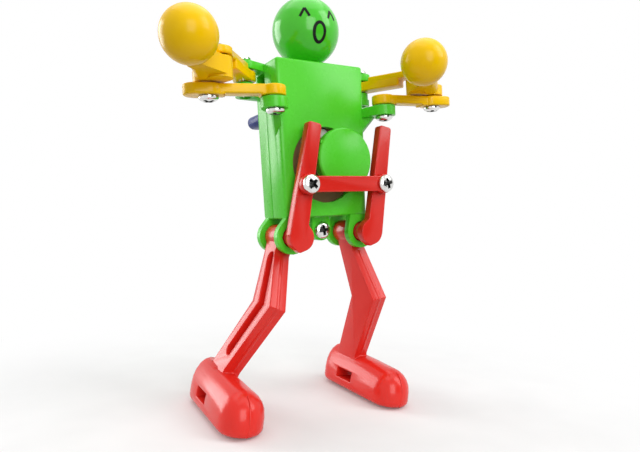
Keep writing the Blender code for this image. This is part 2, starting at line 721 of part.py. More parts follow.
def shoe():
    """Round-ended shoe: a flat sole with a round edge, upright sides and a domed top."""
    heel, toe = (0, 0), (0, -SHOE_SPAN)
    rings = []
    for angle in (0, 0.4, 0.8, 1.2, math.pi / 2):
        inset = SOLE_EDGE * (1 - math.sin(angle))
        outline = pill(heel, toe, SHOE_HEEL_RADIUS - inset, SHOE_TOE_RADIUS - inset)
        rings.append([(x, y, SOLE_EDGE * (1 - math.cos(angle))) for x, y in outline])
    for share in (0, 0.3, 0.55, 0.75, 0.9, 0.98):
        scale = math.sqrt(1 - share * share)
        outline = pill(heel, toe, SHOE_HEEL_RADIUS * scale, SHOE_TOE_RADIUS * scale)
        rings.append([(x, y, SHOE_SIDE + (shoe_ridge(y) - SHOE_SIDE) * share) for x, y in outline])
    return loft(rings)


def shoe_flat():
    """Flat in front of the ankle that runs out on the round of the toe."""
    near = -SHOE_HEEL_BACK
    far = SHOE_SPAN + SHOE_TOE_RADIUS
    high = SHOE_HEEL_HEIGHT + mm
    low = shoe_ridge(-SHOE_SPAN) - SHOE_FLAT_DEPTH / 2
    outline = [(-far, low), (near, shoe_ridge(near) - SHOE_FLAT_DEPTH), (near, high), (-far, high)]
    return prism(outline, -2 * SHOE_TOE_RADIUS, 2 * SHOE_TOE_RADIUS, "X")


def shoe_window():
    """Opening through the shoe's sides, near the sole."""
    near = SHOE_WINDOW_START
    high = SHOE_WINDOW_RISE + SHOE_WINDOW_HEIGHT
    outline = rectangle(-near - SHOE_WINDOW_LENGTH, -near, SHOE_WINDOW_RISE, high)
    return prism(outline, -2 * SHOE_TOE_RADIUS, 2 * SHOE_TOE_RADIUS, "X")


def leg():
    """Hip hub and shaft, bent leg with a slot in its outer face, and shoe, in one moulding."""
    front, back, line = leg_paths()
    front.append((front[-1][0] + ANKLE_SINK / 3, front[-1][1] - ANKLE_SINK))
    back.append((back[-1][0] + ANKLE_SINK / 3, back[-1][1] - ANKLE_SINK))
    splay = Matrix.Rotation(-LEG_SPLAY, 4, "Y")
    strip = moved(prism(front + back[::-1], -LEG_WIDTH / 2, LEG_WIDTH / 2, "X"), splay)
    slot_floor = LEG_WIDTH / 2 - LEG_SLOT_DEPTH
    slot = moved(prism(slot_outline(), slot_floor, LEG_WIDTH, "X"), splay)
    place = shoe_frame()
    hub = rod(HIP_HUB_RADIUS, HUB_FRONT, HUB_BACK, 0, 0, count=28)
    shaft = rod(HIP_SHAFT_RADIUS, 0, REAR_RING_FRONT + HIP_RING_THICKNESS, 0, 0, count=24)
    stub = rod(LEVER_STUB_RADIUS, LEVER_FRONT + mm, mm, 0, 0, count=16)
    steps = [cut(moved(shoe_flat(), place)), cut(moved(shoe_window(), place)), add(strip), cut(slot)]
    steps += [add(hub), add(shaft), add(stub)]
    return carve(moved(shoe(), place), *steps)


def lever():
    """Flat lever with a hub that sockets over the leg's stub."""
    foot, top = LEVER_FOOT_WIDTH / 2, LEVER_TOP_WIDTH / 2 - LEVER_CORNER
    upper = LEVER_HEIGHT - LEVER_CORNER
    ends = [(LEVER_TOP_OFFSET + side * top, upper, LEVER_CORNER) for side in (-1, 1)]
    low = [(LEVER_FOOT_OFFSET - foot, 0), (LEVER_FOOT_OFFSET + foot, 0)]
    blade = round_hull(*ends, count=16, corners=low)
    point = round_hull((0, 0, LEVER_DISC_RADIUS), count=32, corners=((0, -LEVER_DISC_RADIUS * 1.12),))
    plate = prism(star_union((LEVER_FOOT_OFFSET / 2, mm), blade, point), LEVER_FRONT, LEVER_BACK, "Y")
    hub = rod(LEVER_HUB_RADIUS, LEVER_BACK - mm, -GAP, 0, 0, count=24)
    socket = rod(LEVER_STUB_RADIUS + GAP, LEVER_FRONT + mm - GAP, mm, 0, 0)
    hole = rod(SHANK_HOLE, LEVER_FRONT - mm, LEVER_BACK - 0.5 * mm, LINK_OFFSET, LINK_HEIGHT)
    return carve(plate, add(hub), cut(socket), cut(hole))


def link_bar(span):
    """Bar that ties the levers; its left eye is at x = 0 and its right eye at x = -span."""
    outline = [(x - span, z) for x, z in dog_bone(span, LINK_EYE_RADIUS, LINK_BAR_WIDTH / 2)]
    bar = prism(outline, LINK_BAR_FRONT, LINK_BAR_BACK, "Y")
    holes = [rod(SHANK_HOLE, LINK_BAR_FRONT - mm, LINK_BAR_BACK + mm, x, 0) for x in (0, -span)]
    return carve(bar, *[cut(hole) for hole in holes])


def build_legs(robot):
    """Both legs with their levers, swung to the sway that the robot stands in."""
    shape, blade = leg(), lever()
    pivots = {}
    legs = []
    for side, sign in (("left", 1), ("right", -1)):
        hip = empty("hip_" + side, robot, (sign * HIP_X, 0, HIP_Z), (0, SWAY_REST, 0))
        legs.append(piece("leg_" + side, shape if sign > 0 else mirrored(shape), hip, RED))
        piece("lever_" + side, blade if sign > 0 else mirrored(blade), hip, RED)
        eye = Vector((sign * LINK_OFFSET, 0, LINK_HEIGHT))
        seat = eye + Vector((0, LINK_BAR_FRONT - SEAT, 0))
        drive_screw("link_screw_" + side, LEVER_BACK - mm - LINK_BAR_FRONT, hip, seat, (0, 1, 0))
        pivots[side] = Matrix.Rotation(SWAY_REST, 3, "Y") @ eye + Vector((sign * HIP_X, 0, HIP_Z))
    span = pivots["left"] - pivots["right"]
    tie = empty("link_pivot", robot, pivots["left"], (0, -math.atan2(span.z, span.x), 0))
    piece("link_bar", link_bar(span.length), tie, RED)
    return legs


# Arms, drawn for the robot's left

def arm_angles(front_angle):
    """Outer pivot, direction of the fist's link and direction of the rear bar for one swing."""
    along = Vector((math.cos(front_angle), math.sin(front_angle)))
    outer = Vector(FRONT_PIVOT) + FRONT_BAR_LENGTH * along
    back = Vector(REAR_PIVOT) - outer
    reach = back.length
    cosine = (FIST_LINK ** 2 + reach ** 2 - REAR_BAR_LENGTH ** 2) / (2 * FIST_LINK * reach)
    link_angle = math.atan2(back.y, back.x) + math.acos(cosine)
    second = outer + FIST_LINK * Vector((math.cos(link_angle), math.sin(link_angle)))
    bar = second - Vector(REAR_PIVOT)
    return outer, link_angle, math.atan2(bar.y, bar.x)


def front_bar():
    """Lower bar: a middle thinned from below between two eyes, the outer one stretched."""
    length = FRONT_BAR_LENGTH
    near = length - OUTER_EYE_INSIDE
    outline = dog_bone(length, BAR_EYE_RADIUS, FRONT_BAR_WIDTH / 2, near, OUTER_EYE_STRETCH)
    bar = prism(outline, FRONT_BAR_BOTTOM, FRONT_BAR_TOP)
    thin_from, thin_to = BAR_EYE_RADIUS + GAP, near - BAR_EYE_RADIUS - GAP
    relief = prism(rectangle(thin_from, thin_to, -BAR_EYE_RADIUS, BAR_EYE_RADIUS),
                   FRONT_BAR_BOTTOM - mm, FRONT_BAR_BOTTOM + FRONT_BAR_RELIEF)
    holes = [rod(SHANK_HOLE, FRONT_BAR_BOTTOM - mm, FRONT_BAR_TOP + mm, x, 0, "Z") for x in (0, length)]
    return carve(bar, cut(relief), *[cut(hole) for hole in holes])


def rear_bar():
    """Upper bar: the inner eye is cut down under the lug, the outer one raised over the fist."""
    length = REAR_BAR_LENGTH
    bar = prism(dog_bone(length, BAR_EYE_RADIUS, REAR_BAR_WIDTH / 2), REAR_BAR_BOTTOM, REAR_BAR_TOP)
    start = UPPER_LUG_RADIUS + 2 * GAP
    stop = length - FIST_LUG_RADIUS - ELBOW_SLACK - 2 * GAP
    wide = 2 * BAR_EYE_RADIUS
    eye_top = REAR_BAR_BOTTOM + REAR_EYE_THICKNESS
    over = prism(rectangle(-wide, start, -wide, wide), eye_top, REAR_BAR_TOP + mm)
    under = prism(rectangle(stop, length + wide, -wide, wide), REAR_BAR_BOTTOM - mm, REAR_TIP_BOTTOM)
    pivot = rod(SHANK_HOLE, REAR_BAR_BOTTOM - mm, REAR_BAR_TOP + mm, 0, 0, "Z")
    eye = rod(ELBOW_PIN_RADIUS + ELBOW_SLACK, REAR_BAR_BOTTOM - mm, REAR_BAR_TOP + mm, length, 0, "Z")
    return carve(bar, cut(over), cut(under), cut(pivot), cut(eye))


def elbow_place():
    """Second pivot of the fist, in the fist's frame."""
    return -FIST_LINK * math.sin(FIST_STEM_ANGLE), -FIST_LINK * math.cos(FIST_STEM_ANGLE)


def fist():
    """Ball on a tapered stem; the base has the outer pivot at x = y = 0 and a lug for the elbow pin."""
    low = FIST_BOTTOM
    pin_x, pin_y = elbow_place()
    base = round_hull((0, 0, BAR_EYE_RADIUS), (pin_x, pin_y, FIST_LUG_RADIUS - 0.1 * mm))
    web = prism(base, low - mm, low + FIST_BASE_HEIGHT)
    boss = rod(FIST_BOSS_RADIUS, low - 1.2 * mm, low + FIST_BOSS_HEIGHT, 0, 0, "Z", 24)
    lug = rod(FIST_LUG_RADIUS, low - 1.4 * mm, low + FIST_LUG_HEIGHT, pin_x, pin_y, "Z", 24)
    centre = Vector((0, -STEM_LENGTH, low + BALL_RISE))
    start = Vector((0, -STEM_START, low + STEM_START_RADIUS - GAP))
    run = centre - start
    taper = [(0, 0), (STEM_START_RADIUS, 0), (STEM_END_RADIUS, run.length), (0, run.length)]
    tilt = run.to_track_quat("Z", "Y").to_matrix().to_4x4()
    stem = moved(turned(taper, 20), Matrix.Translation(start) @ tilt)
    reach = FIST_LINK + 2 * FIST_LUG_RADIUS
    under = prism(rectangle(-reach, reach, -reach, reach), low - 2 * STEM_START_RADIUS, low)
    hole = rod(SHANK_HOLE, low - mm, low + FIST_BOSS_HEIGHT - 0.6 * mm, 0, 0, "Z")
    pin_floor = low + FIST_LUG_HEIGHT - ELBOW_PIN_DEPTH - GAP
    pin_hole = rod(ELBOW_PIN_RADIUS + GAP, pin_floor, low + 2 * FIST_LUG_HEIGHT, pin_x, pin_y, "Z", 16)
    return carve(stem, add(web), add(boss), add(lug), cut(under), add(ball(BALL_RADIUS, centre, 11, 22)),
                 cut(hole), cut(pin_hole))


def elbow_pin():
    pin_x, pin_y = elbow_place()
    low = FIST_BOTTOM + FIST_LUG_HEIGHT - ELBOW_PIN_DEPTH
    return rod(ELBOW_PIN_RADIUS, low, REAR_BAR_TOP + ELBOW_PIN_PROUD, pin_x, pin_y, "Z", 14)


def build_arms(robot):
    shapes = {"front_bar": front_bar(), "rear_bar": rear_bar(), "fist": fist()}
    for side, sign, rest in (("left", 1, ARM_REST_LEFT), ("right", -1, ARM_REST_RIGHT)):
        outer, link_angle, bar_angle = arm_angles(rest)
        fist_angle = link_angle + FIST_STEM_ANGLE - 1.5 * math.pi
        turns = {"front_bar": (FRONT_PIVOT, rest), "rear_bar": (REAR_PIVOT, bar_angle)}
        turns["fist"] = (outer, fist_angle)
        pivots = {}
        for name, (spot, angle) in turns.items():
            place = (sign * spot[0], spot[1], 0)
            pivots[name] = empty(name + "_pivot_" + side, robot, place, (0, 0, sign * angle))
            mesh = shapes[name] if sign > 0 else mirrored(shapes[name])
            piece(name + "_" + side, mesh, pivots[name], YELLOW)
        pin = elbow_pin()
        pin = pin if sign > 0 else mirrored(pin)
        piece("elbow_pin_" + side, pin, pivots["fist"], DARK_STEEL, 0.35, 1.0)
        shoulder_seat = (0, 0, LOWER_LUG_BOTTOM - SEAT)
        shoulder_length = FRONT_BAR_TOP - LOWER_LUG_BOTTOM
        shoulder = pivots["front_bar"]
        drive_screw("shoulder_screw_" + side, shoulder_length, shoulder, shoulder_seat, (0, 0, 1))
        wrist_seat = (0, 0, FRONT_BAR_BOTTOM - SEAT)
        wrist_length = FRONT_BAR_THICKNESS + FIST_BOSS_HEIGHT - mm
        drive_screw("wrist_screw_" + side, wrist_length, pivots["fist"], wrist_seat, (0, 0, 1))
        top_seat = (sign * REAR_PIVOT[0], REAR_PIVOT[1], BODY_HEIGHT + SEAT)
        drive_screw("rear_screw_" + side, BODY_HEIGHT - TONGUE_BOTTOM, robot, top_seat, (0, 0, -1))


# Clockwork, with every shaft along Y

LAYER_A = PLATE_FRONT + PLATE_THICKNESS + 0.5 * mm   # transfer wheel and output pinion
LAYER_B = LAYER_A + GEAR_THICKNESS + 0.5 * mm        # great wheel and transfer pinion
LAYER_C = LAYER_B + GEAR_THICKNESS + 0.4 * mm        # mainspring


def transfer_place():
    """Middle of the transfer gear: in mesh with the great wheel and with the output pinion."""
    run = Vector((-ARBOR_X, CAM_AXIS_HEIGHT - ARBOR_Z))
    first = GREAT_WHEEL_RADIUS + PINION_RADIUS
    second = TRANSFER_RADIUS + PINION_RADIUS
    along = (first ** 2 - second ** 2 + run.length ** 2) / (2 * run.length)
    aside = math.sqrt(first ** 2 - along ** 2)
    ahead = run.normalized()
    spot = Vector((ARBOR_X, ARBOR_Z)) + along * ahead + aside * Vector((-ahead.y, ahead.x))
    return spot.x, spot.y


def heading(start, stop):
    return math.atan2(stop[1] - start[1], stop[0] - start[0])


def pillar_places():
    edge = PLATE_WIDTH / 2 - PILLAR_RADIUS - 0.3 * mm
    low, high = PLATE_BOTTOM + PILLAR_RADIUS + 0.4 * mm, PLATE_TOP - PILLAR_RADIUS - 0.4 * mm
    return [(x, z) for x in (-edge, edge) for z in (low, high)]


def shaft_holes(front, back):
    places = [(0, CAM_AXIS_HEIGHT), (ARBOR_X, ARBOR_Z), transfer_place()]
    return [cut(rod(SHAFT_RADIUS + GAP, front - mm, back + mm, x, z)) for x, z in places]


def plate_outline():
    half = PLATE_WIDTH / 2
    corner = mm
    heights = (PLATE_BOTTOM + corner, PLATE_TOP - corner)
    places = [(x, z) for x in (-half + corner, half - corner) for z in heights]
    return round_hull(*[(x, z, corner) for x, z in places], count=12)


def motor_front_plate():
    back = PLATE_FRONT + PLATE_THICKNESS
    return carve(prism(plate_outline(), PLATE_FRONT, back, "Y"), *shaft_holes(PLATE_FRONT, back))


def motor_rear_plate():
    """Back plate with four pillars and the post that holds the mainspring's outer end."""
    front = PLATE_BACK - PLATE_THICKNESS
    reach = PLATE_FRONT + PLATE_THICKNESS + SEAT
    inside = front + PLATE_THICKNESS / 2
    steps = shaft_holes(front, PLATE_BACK)
    steps += [add(rod(PILLAR_RADIUS, reach, inside, x, z, count=14)) for x, z in pillar_places()]
    post_x, post_z = spring_point(SPRING_TURNS * 2 * math.pi, SPRING_STRIP / 2 + GAP + PILLAR_RADIUS)
    steps += [add(rod(PILLAR_RADIUS, LAYER_C, inside, post_x, post_z, count=14))]
    return carve(prism(plate_outline(), front, PLATE_BACK, "Y"), *steps)


def spring_point(angle, outside=0.0):
    """Point of the mainspring's spiral, or one further out by outside."""
    start = SHAFT_RADIUS + SPRING_STRIP / 2 + GAP
    radius = start + SPRING_PITCH * angle / (2 * math.pi) + outside
    return ARBOR_X + radius * math.cos(angle), ARBOR_Z + radius * math.sin(angle)


def mainspring():
    """Flat spring wound in a spiral about the winding arbor."""
    half = SPRING_STRIP / 2
    low, high = LAYER_C, LAYER_C + SPRING_HEIGHT
    rings = []
    steps = SPRING_TURNS * 18
    for i in range(steps + 1):
        angle = 2 * math.pi * SPRING_TURNS * i / steps
        inner, outer = spring_point(angle, -half), spring_point(angle, half)
        corners = ((inner, low), (outer, low), (outer, high), (inner, high))
        rings.append([(spot[0], y, spot[1]) for spot, y in corners])
    print("least gap between the spring's turns: %.2f mm" % ((SPRING_PITCH - SPRING_STRIP) / mm))
    return loft(rings)


def great_wheel():
    """Large gear that runs free on the winding arbor."""
    arbor = (ARBOR_X, ARBOR_Z)
    outline = gear_outline(*arbor, GREAT_WHEEL_TEETH, heading(arbor, transfer_place()))
    disc = prism(outline, LAYER_B, LAYER_B + GEAR_THICKNESS, "Y")
    return carve(disc, cut(rod(SHAFT_RADIUS + GAP, LAYER_B - mm, LAYER_B + 2 * GEAR_THICKNESS, *arbor)))


def transfer_gear():
    """Wheel and pinion on one short shaft."""
    here = transfer_place()
    half_tooth = math.pi / PINION_TEETH
    shaft = rod(SHAFT_RADIUS, PLATE_FRONT + SEAT, PLATE_BACK - SEAT, *here)
    wheel = prism(gear_outline(*here, TRANSFER_TEETH, heading(here, (0, CAM_AXIS_HEIGHT))),
                  LAYER_A, LAYER_A + GEAR_THICKNESS, "Y")
    pinion = prism(gear_outline(*here, PINION_TEETH, heading(here, (ARBOR_X, ARBOR_Z)) + half_tooth),
                   LAYER_A + GEAR_THICKNESS / 2, LAYER_B + GEAR_THICKNESS, "Y")
    return carve(shaft, add(wheel), add(pinion))


def output_shaft():
    """Shaft of the cam, with the last pinion of the clockwork."""
    here = (0, CAM_AXIS_HEIGHT)
    half_tooth = math.pi / PINION_TEETH
    shaft = rod(SHAFT_RADIUS, CAM_FRONT + mm, PLATE_BACK - SEAT, *here)
    pinion = prism(gear_outline(*here, PINION_TEETH, heading(here, transfer_place()) + half_tooth),
                   LAYER_A, LAYER_A + GEAR_THICKNESS, "Y")
    return carve(shaft, add(pinion))


def cam_disc():
    """Round cam, bored off its centre."""
    edge = 0.4 * mm
    profile = [(0, CAM_FRONT), (CAM_RADIUS - edge, CAM_FRONT), (CAM_RADIUS, CAM_FRONT + edge)]
    profile += [(CAM_RADIUS, CAM_BACK), (0, CAM_BACK)]
    middle = (CAM_OFFSET * math.cos(CAM_RISE), 0, CAM_AXIS_HEIGHT + CAM_OFFSET * math.sin(CAM_RISE))
    disc = turned(profile, 48, middle, "Y")
    bore = rod(SHAFT_RADIUS + GAP, CAM_FRONT + mm - GAP, CAM_BACK + mm, 0, CAM_AXIS_HEIGHT)
    return carve(disc, cut(bore))


def winding_knob():
    """Knob on the back: a round core on a collar, with a wing to either side."""
    front = BODY_DEPTH + GAP
    start = front + KNOB_COLLAR_LENGTH
    back = start + KNOB_LENGTH
    edge = 0.5 * mm
    profile = [(0, front), (KNOB_COLLAR_RADIUS, front), (KNOB_COLLAR_RADIUS, start)]
    profile += [(KNOB_CORE_RADIUS, start), (KNOB_CORE_RADIUS, back - edge), (KNOB_CORE_RADIUS - edge, back)]
    profile += [(0, back)]
    core = turned(profile, 28, (ARBOR_X, 0, ARBOR_Z), "Y")
    half = KNOB_WING / 2
    tip = KNOB_REACH - half
    rings = []
    for depth, inset in ((start - edge, edge), (start, 0), (back - 2 * edge, 0), (back - edge, edge)):
        outline = pill((ARBOR_X - tip, ARBOR_Z), (ARBOR_X + tip, ARBOR_Z), half - inset, half - inset)
        rings.append([(x, depth, z) for x, z in outline])
    bore = rod(SHAFT_RADIUS + GAP, front - mm, start + KNOB_LENGTH / 2 + GAP, ARBOR_X, ARBOR_Z)
    return carve(core, add(loft(rings)), cut(bore))


def build_body(robot):
    piece("front_shell", front_shell(), robot, GREEN)
    piece("rear_shell", rear_shell(), robot, GREEN)
    piece("head", head(), robot, GREEN, 0.2)
    seat = BOSS_FRONT - SEAT
    drive_screw("body_screw", BODY_DEPTH - 2 * WALL - seat - GAP, robot, (0, seat, BOSS_Z), (0, 1, 0))


def build_clockwork(robot):
    piece("motor_front_plate", motor_front_plate(), robot, BROWN, 0.45)
    piece("motor_rear_plate", motor_rear_plate(), robot, YELLOW, 0.35)
    piece("mainspring", mainspring(), robot, STEEL, 0.3, 1.0)
    piece("great_wheel", great_wheel(), robot, WHITE, 0.4)
    piece("transfer_gear", transfer_gear(), robot, WHITE, 0.4)
    piece("output_shaft", output_shaft(), robot, BRASS, 0.3, 1.0)
    piece("cam_disc", cam_disc(), robot, GREEN)
    inside_knob = BODY_DEPTH + GAP + KNOB_COLLAR_LENGTH + KNOB_LENGTH / 2
    arbor = rod(SHAFT_RADIUS, PLATE_FRONT + SEAT, inside_knob, ARBOR_X, ARBOR_Z)
    piece("winding_arbor", arbor, robot, STEEL, 0.3, 1.0)
    piece("winding_knob", winding_knob(), robot, BLUE, 0.3)


# Standing

def lowest(item, matrix):
    return min((matrix @ v.co).z for v in item.data.vertices)


def stand(robot, legs):
    """Lean the robot sideways until both shoes touch the floor, then set it over the origin."""
    bpy.context.view_layer.update()
    inner = [robot.matrix_world.inverted() @ item.matrix_world for item in legs]

    def step(angle):
        turn = Matrix.Rotation(angle, 4, "Y")
        return lowest(legs[0], turn @ inner[0]) - lowest(legs[1], turn @ inner[1])

    low, high = -SWAY_REST, SWAY_REST
    for _ in range(50):
        lean = (low + high) / 2
        if step(lean) < 0:
            high = lean
        else:
            low = lean
    robot.rotation_euler = (0, lean, 0)
    bpy.context.view_layer.update()
    corners = [item.matrix_world @ v.co for item in bpy.data.objects if item.type == "MESH"
               for v in item.data.vertices]
    spread = [(min(c[i] for c in corners), max(c[i] for c in corners)) for i in range(3)]
    robot.location = (-sum(spread[0]) / 2, -sum(spread[1]) / 2, -spread[2][0])
    bpy.context.view_layer.update()
    size = [round((b - a) / mm, 2) for a, b in spread]
    print("lean %.2f degrees, size %s mm" % (math.degrees(lean), size))


def main():
    clear_scene()
    robot = empty("robot")
    build_body(robot)
    build_clockwork(robot)
    legs = build_legs(robot)
    build_arms(robot)
    stand(robot, legs)


main()
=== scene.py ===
# %% [markdown]
# # A wind-up dancing robot
#
# The toy is moulded in bright plastics and held together by small plated screws. The
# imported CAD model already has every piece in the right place, so this lesson dresses
# it: finer shapes where the eye rests, a finish for each plastic and metal, and a
# plain white studio.

# %% Load the frame
import json
import math

import bmesh
import bpy
from mathutils import Matrix, Vector


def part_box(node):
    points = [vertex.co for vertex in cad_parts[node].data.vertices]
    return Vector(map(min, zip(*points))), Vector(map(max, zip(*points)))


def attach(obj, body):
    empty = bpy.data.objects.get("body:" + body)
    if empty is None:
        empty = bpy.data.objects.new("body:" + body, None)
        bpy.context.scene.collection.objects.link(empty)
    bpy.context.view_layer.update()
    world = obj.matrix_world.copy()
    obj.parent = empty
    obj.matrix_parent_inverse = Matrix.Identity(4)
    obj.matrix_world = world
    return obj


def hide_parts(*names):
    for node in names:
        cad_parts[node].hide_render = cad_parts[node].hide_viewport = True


mm = 0.001
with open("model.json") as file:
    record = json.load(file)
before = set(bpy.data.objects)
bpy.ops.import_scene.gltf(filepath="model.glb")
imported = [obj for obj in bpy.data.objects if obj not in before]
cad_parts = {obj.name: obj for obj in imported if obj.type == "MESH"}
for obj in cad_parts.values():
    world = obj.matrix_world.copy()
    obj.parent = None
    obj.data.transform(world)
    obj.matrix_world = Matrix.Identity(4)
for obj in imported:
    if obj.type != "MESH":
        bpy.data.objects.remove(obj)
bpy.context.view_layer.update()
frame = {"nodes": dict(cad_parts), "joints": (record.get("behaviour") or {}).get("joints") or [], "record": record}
nodes = frame["nodes"]

# %% [markdown]
# ## The robot's own axes
#
# The robot stands leaning a little to one side, so its own up isn't the floor's up.
# The arm pivots give its up direction and the two hips give its place. With these, a
# detail can be given in plain body millimetres: x to the robot's left, y backwards
# from the front face and z up from the body's underside.

# %% Work out the robot's axes
HIP_DROP = 4.2 * mm
joints = {joint["name"]: joint for joint in frame["joints"]}
hips = {side: Vector(joints["hip_" + side]["pos_m"]) for side in ("left", "right")}


def axes(place, x, y, z):
    """Matrix of a frame from its origin and its three directions."""
    turn = Matrix((x, y, z)).transposed().to_4x4()
    return Matrix.Translation(place) @ turn


robot_up = Vector(joints["arm_left"]["axis"]).normalized()
backwards = Vector((0, 1, 0))
robot_left = backwards.cross(robot_up)
robot = axes((hips["left"] + hips["right"]) / 2 + robot_up * HIP_DROP, robot_left, backwards, robot_up)
lean = math.degrees(math.atan2(robot_up.x, robot_up.z))
print("lean in degrees: %.2f" % lean)

# %% [markdown]
# ## Helpers for finishes
#
# A finish that several pieces share is best built once, as a shader group with named
# sockets, and placed in each material with its own values. Four small helpers keep
# that short: a new group, a noise, a spread of the noise's middle over a wanted range,
# and a blend of two colours.

# %% Make the helpers for finishes
def new_group(name, inputs, outputs):
    """Shader group with named sockets: (name, kind, default) in, (name, kind) out."""
    group = bpy.data.node_groups.new(name, "ShaderNodeTree")
    for label, kind, value in inputs:
        socket = group.interface.new_socket(label, in_out="INPUT", socket_type="NodeSocket" + kind)
        socket.default_value = value
    for label, kind in outputs:
        group.interface.new_socket(label, in_out="OUTPUT", socket_type="NodeSocket" + kind)
    start = group.nodes.new("NodeGroupInput")
    stop = group.nodes.new("NodeGroupOutput")
    return group, start.outputs, stop.inputs


def noise(tree, where, scale, detail=3.0, roughness=0.55):
    node = tree.nodes.new("ShaderNodeTexNoise")
    node.inputs["Scale"].default_value = scale
    node.inputs["Detail"].default_value = detail
    node.inputs["Roughness"].default_value = roughness
    tree.links.new(where, node.inputs["Vector"])
    return node.outputs["Fac"]


def spread(tree, value, low, high):
    """Map 0.3..0.7 of a noise to low..high, where these are numbers or sockets."""
    node = tree.nodes.new("ShaderNodeMapRange")
    node.inputs["From Min"].default_value = 0.3
    node.inputs["From Max"].default_value = 0.7
    tree.links.new(value, node.inputs["Value"])
    for label, end in (("To Min", low), ("To Max", high)):
        if isinstance(end, (int, float)):
            node.inputs[label].default_value = end
        else:
            tree.links.new(end, node.inputs[label])
    return node.outputs["Result"]


def blend_colours(tree, share, first, second):
    node = tree.nodes.new("ShaderNodeMix")
    node.data_type = "RGBA"
    for socket, source in ((node.inputs[0], share), (node.inputs[6], first), (node.inputs[7], second)):
        tree.links.new(source, socket)
    return node.outputs[2]


print("helpers for finishes: 4")

# %% [markdown]
# ## The surface of a moulding
#
# Moulded plastic is never quite even: the colour flows in soft clouds, the gloss is
# dulled where hands have held it, and the skin has a faint ripple. All the plastics
# share these, so they are one group. A painted picture could do it too, but it would
# need unwrapping, and a noise in the piece's own coordinates moves with the piece.

# %% Build the moulding's shader group
moulding, given, out = new_group(
    "moulded_surface",
    [("Colour", "Color", (1, 1, 1, 1)), ("Cloud Colour", "Color", (1, 1, 1, 1)),
     ("Gloss Low", "Float", 0.16), ("Gloss High", "Float", 0.28), ("Ripple", "Float", 1.0)],
    [("Colour", "Color"), ("Roughness", "Float"), ("Height", "Float")])
where = moulding.nodes.new("ShaderNodeTexCoord").outputs["Object"]
clouds = spread(moulding, noise(moulding, where, 150, 2.0), 0.0, 1.0)
moulding.links.new(blend_colours(moulding, clouds, given["Colour"], given["Cloud Colour"]), out["Colour"])
handled = noise(moulding, where, 260, 4.0)
moulding.links.new(spread(moulding, handled, given["Gloss Low"], given["Gloss High"]), out["Roughness"])
ripple = spread(moulding, noise(moulding, where, 420, 1.0), 0.0, given["Ripple"])
moulding.links.new(ripple, out["Height"])
outputs = [item.name for item in moulding.interface.items_tree if item.in_out == "OUTPUT"]
print("group", moulding.name, "with outputs", outputs)

# %% [markdown]
# ## The plastics
#
# The shells and head are bright green, the legs and levers red, the arms a warm
# yellow. Inside are a brown plate, white gears and, at the back, a dark blue knob. A
# Principled shader with a low roughness gives the gloss; the group varies its colour
# and roughness and feeds a very weak bump. The strong colours stay strong only if the
# white reflection is held back, so each plastic has its own specular level.

# %% Make the plastics
def shader_of(name):
    """A new node material and its Principled shader."""
    material = bpy.data.materials.new(name)
    material.use_nodes = True
    return material, material.node_tree, material.node_tree.nodes["Principled BSDF"]


def surfaced(name, group, values, bump, depth):
    """Material whose colour, roughness and bump come from a group with these values."""
    material, tree, shader = shader_of(name)
    skin = tree.nodes.new("ShaderNodeGroup")
    skin.node_tree = group
    for label, value in values.items():
        skin.inputs[label].default_value = value
    height = tree.nodes.new("ShaderNodeBump")
    height.inputs["Strength"].default_value = bump
    height.inputs["Distance"].default_value = depth
    tree.links.new(skin.outputs["Colour"], shader.inputs["Base Color"])
    tree.links.new(skin.outputs["Roughness"], shader.inputs["Roughness"])
    tree.links.new(skin.outputs["Height"], height.inputs["Height"])
    tree.links.new(height.outputs["Normal"], shader.inputs["Normal"])
    return material, shader


def plastic(name, colour, cloud, gloss=(0.16, 0.24), specular=0.35, ripple=0.6, bump=0.015):
    values = {"Colour": (*colour, 1), "Cloud Colour": (*cloud, 1), "Ripple": ripple}
    values["Gloss Low"], values["Gloss High"] = gloss
    material, shader = surfaced(name, moulding, values, bump, depth=0.4 * mm)
    shader.inputs["IOR"].default_value = 1.5
    shader.inputs["Specular IOR Level"].default_value = specular
    return material


green = plastic("green moulding", (0.08, 0.625, 0.022), (0.088, 0.64, 0.026), (0.25, 0.3), 0.3)
gloss_green = plastic("glossy green moulding", (0.06, 0.575, 0.02), (0.07, 0.595, 0.024), (0.13, 0.18), 0.4)
red = plastic("red moulding", (0.66, 0.018, 0.011), (0.69, 0.022, 0.014), (0.19, 0.25), 0.35)
yellow = plastic("yellow moulding", (0.94, 0.56, 0.0), (0.95, 0.585, 0.001), (0.18, 0.25), 0.18)
brown = plastic("brown motor plate", (0.25, 0.14, 0.065), (0.30, 0.18, 0.085), (0.4, 0.55), 0.35, 1.0, 0.12)
white = plastic("white gear plastic", (0.74, 0.72, 0.66), (0.79, 0.77, 0.71), (0.35, 0.5))
blue = plastic("blue knob plastic", (0.012, 0.03, 0.20), (0.016, 0.04, 0.23), (0.2, 0.32), 0.12)
print("plastics:", [m.name for m in (green, gloss_green, red, yellow, brown, white, blue)])

# %% [markdown]
# ## The metals and the ink
#
# The screws are bright plated steel: nearly a mirror, with fine rub marks from the
# driver. The elbow pins are dark drawn wire, the spring and arbor bare steel and the
# output shaft brass. One group gives the rub marks by stretching a noise along one
# direction. The face is printed in black ink, a little duller than the plastic.

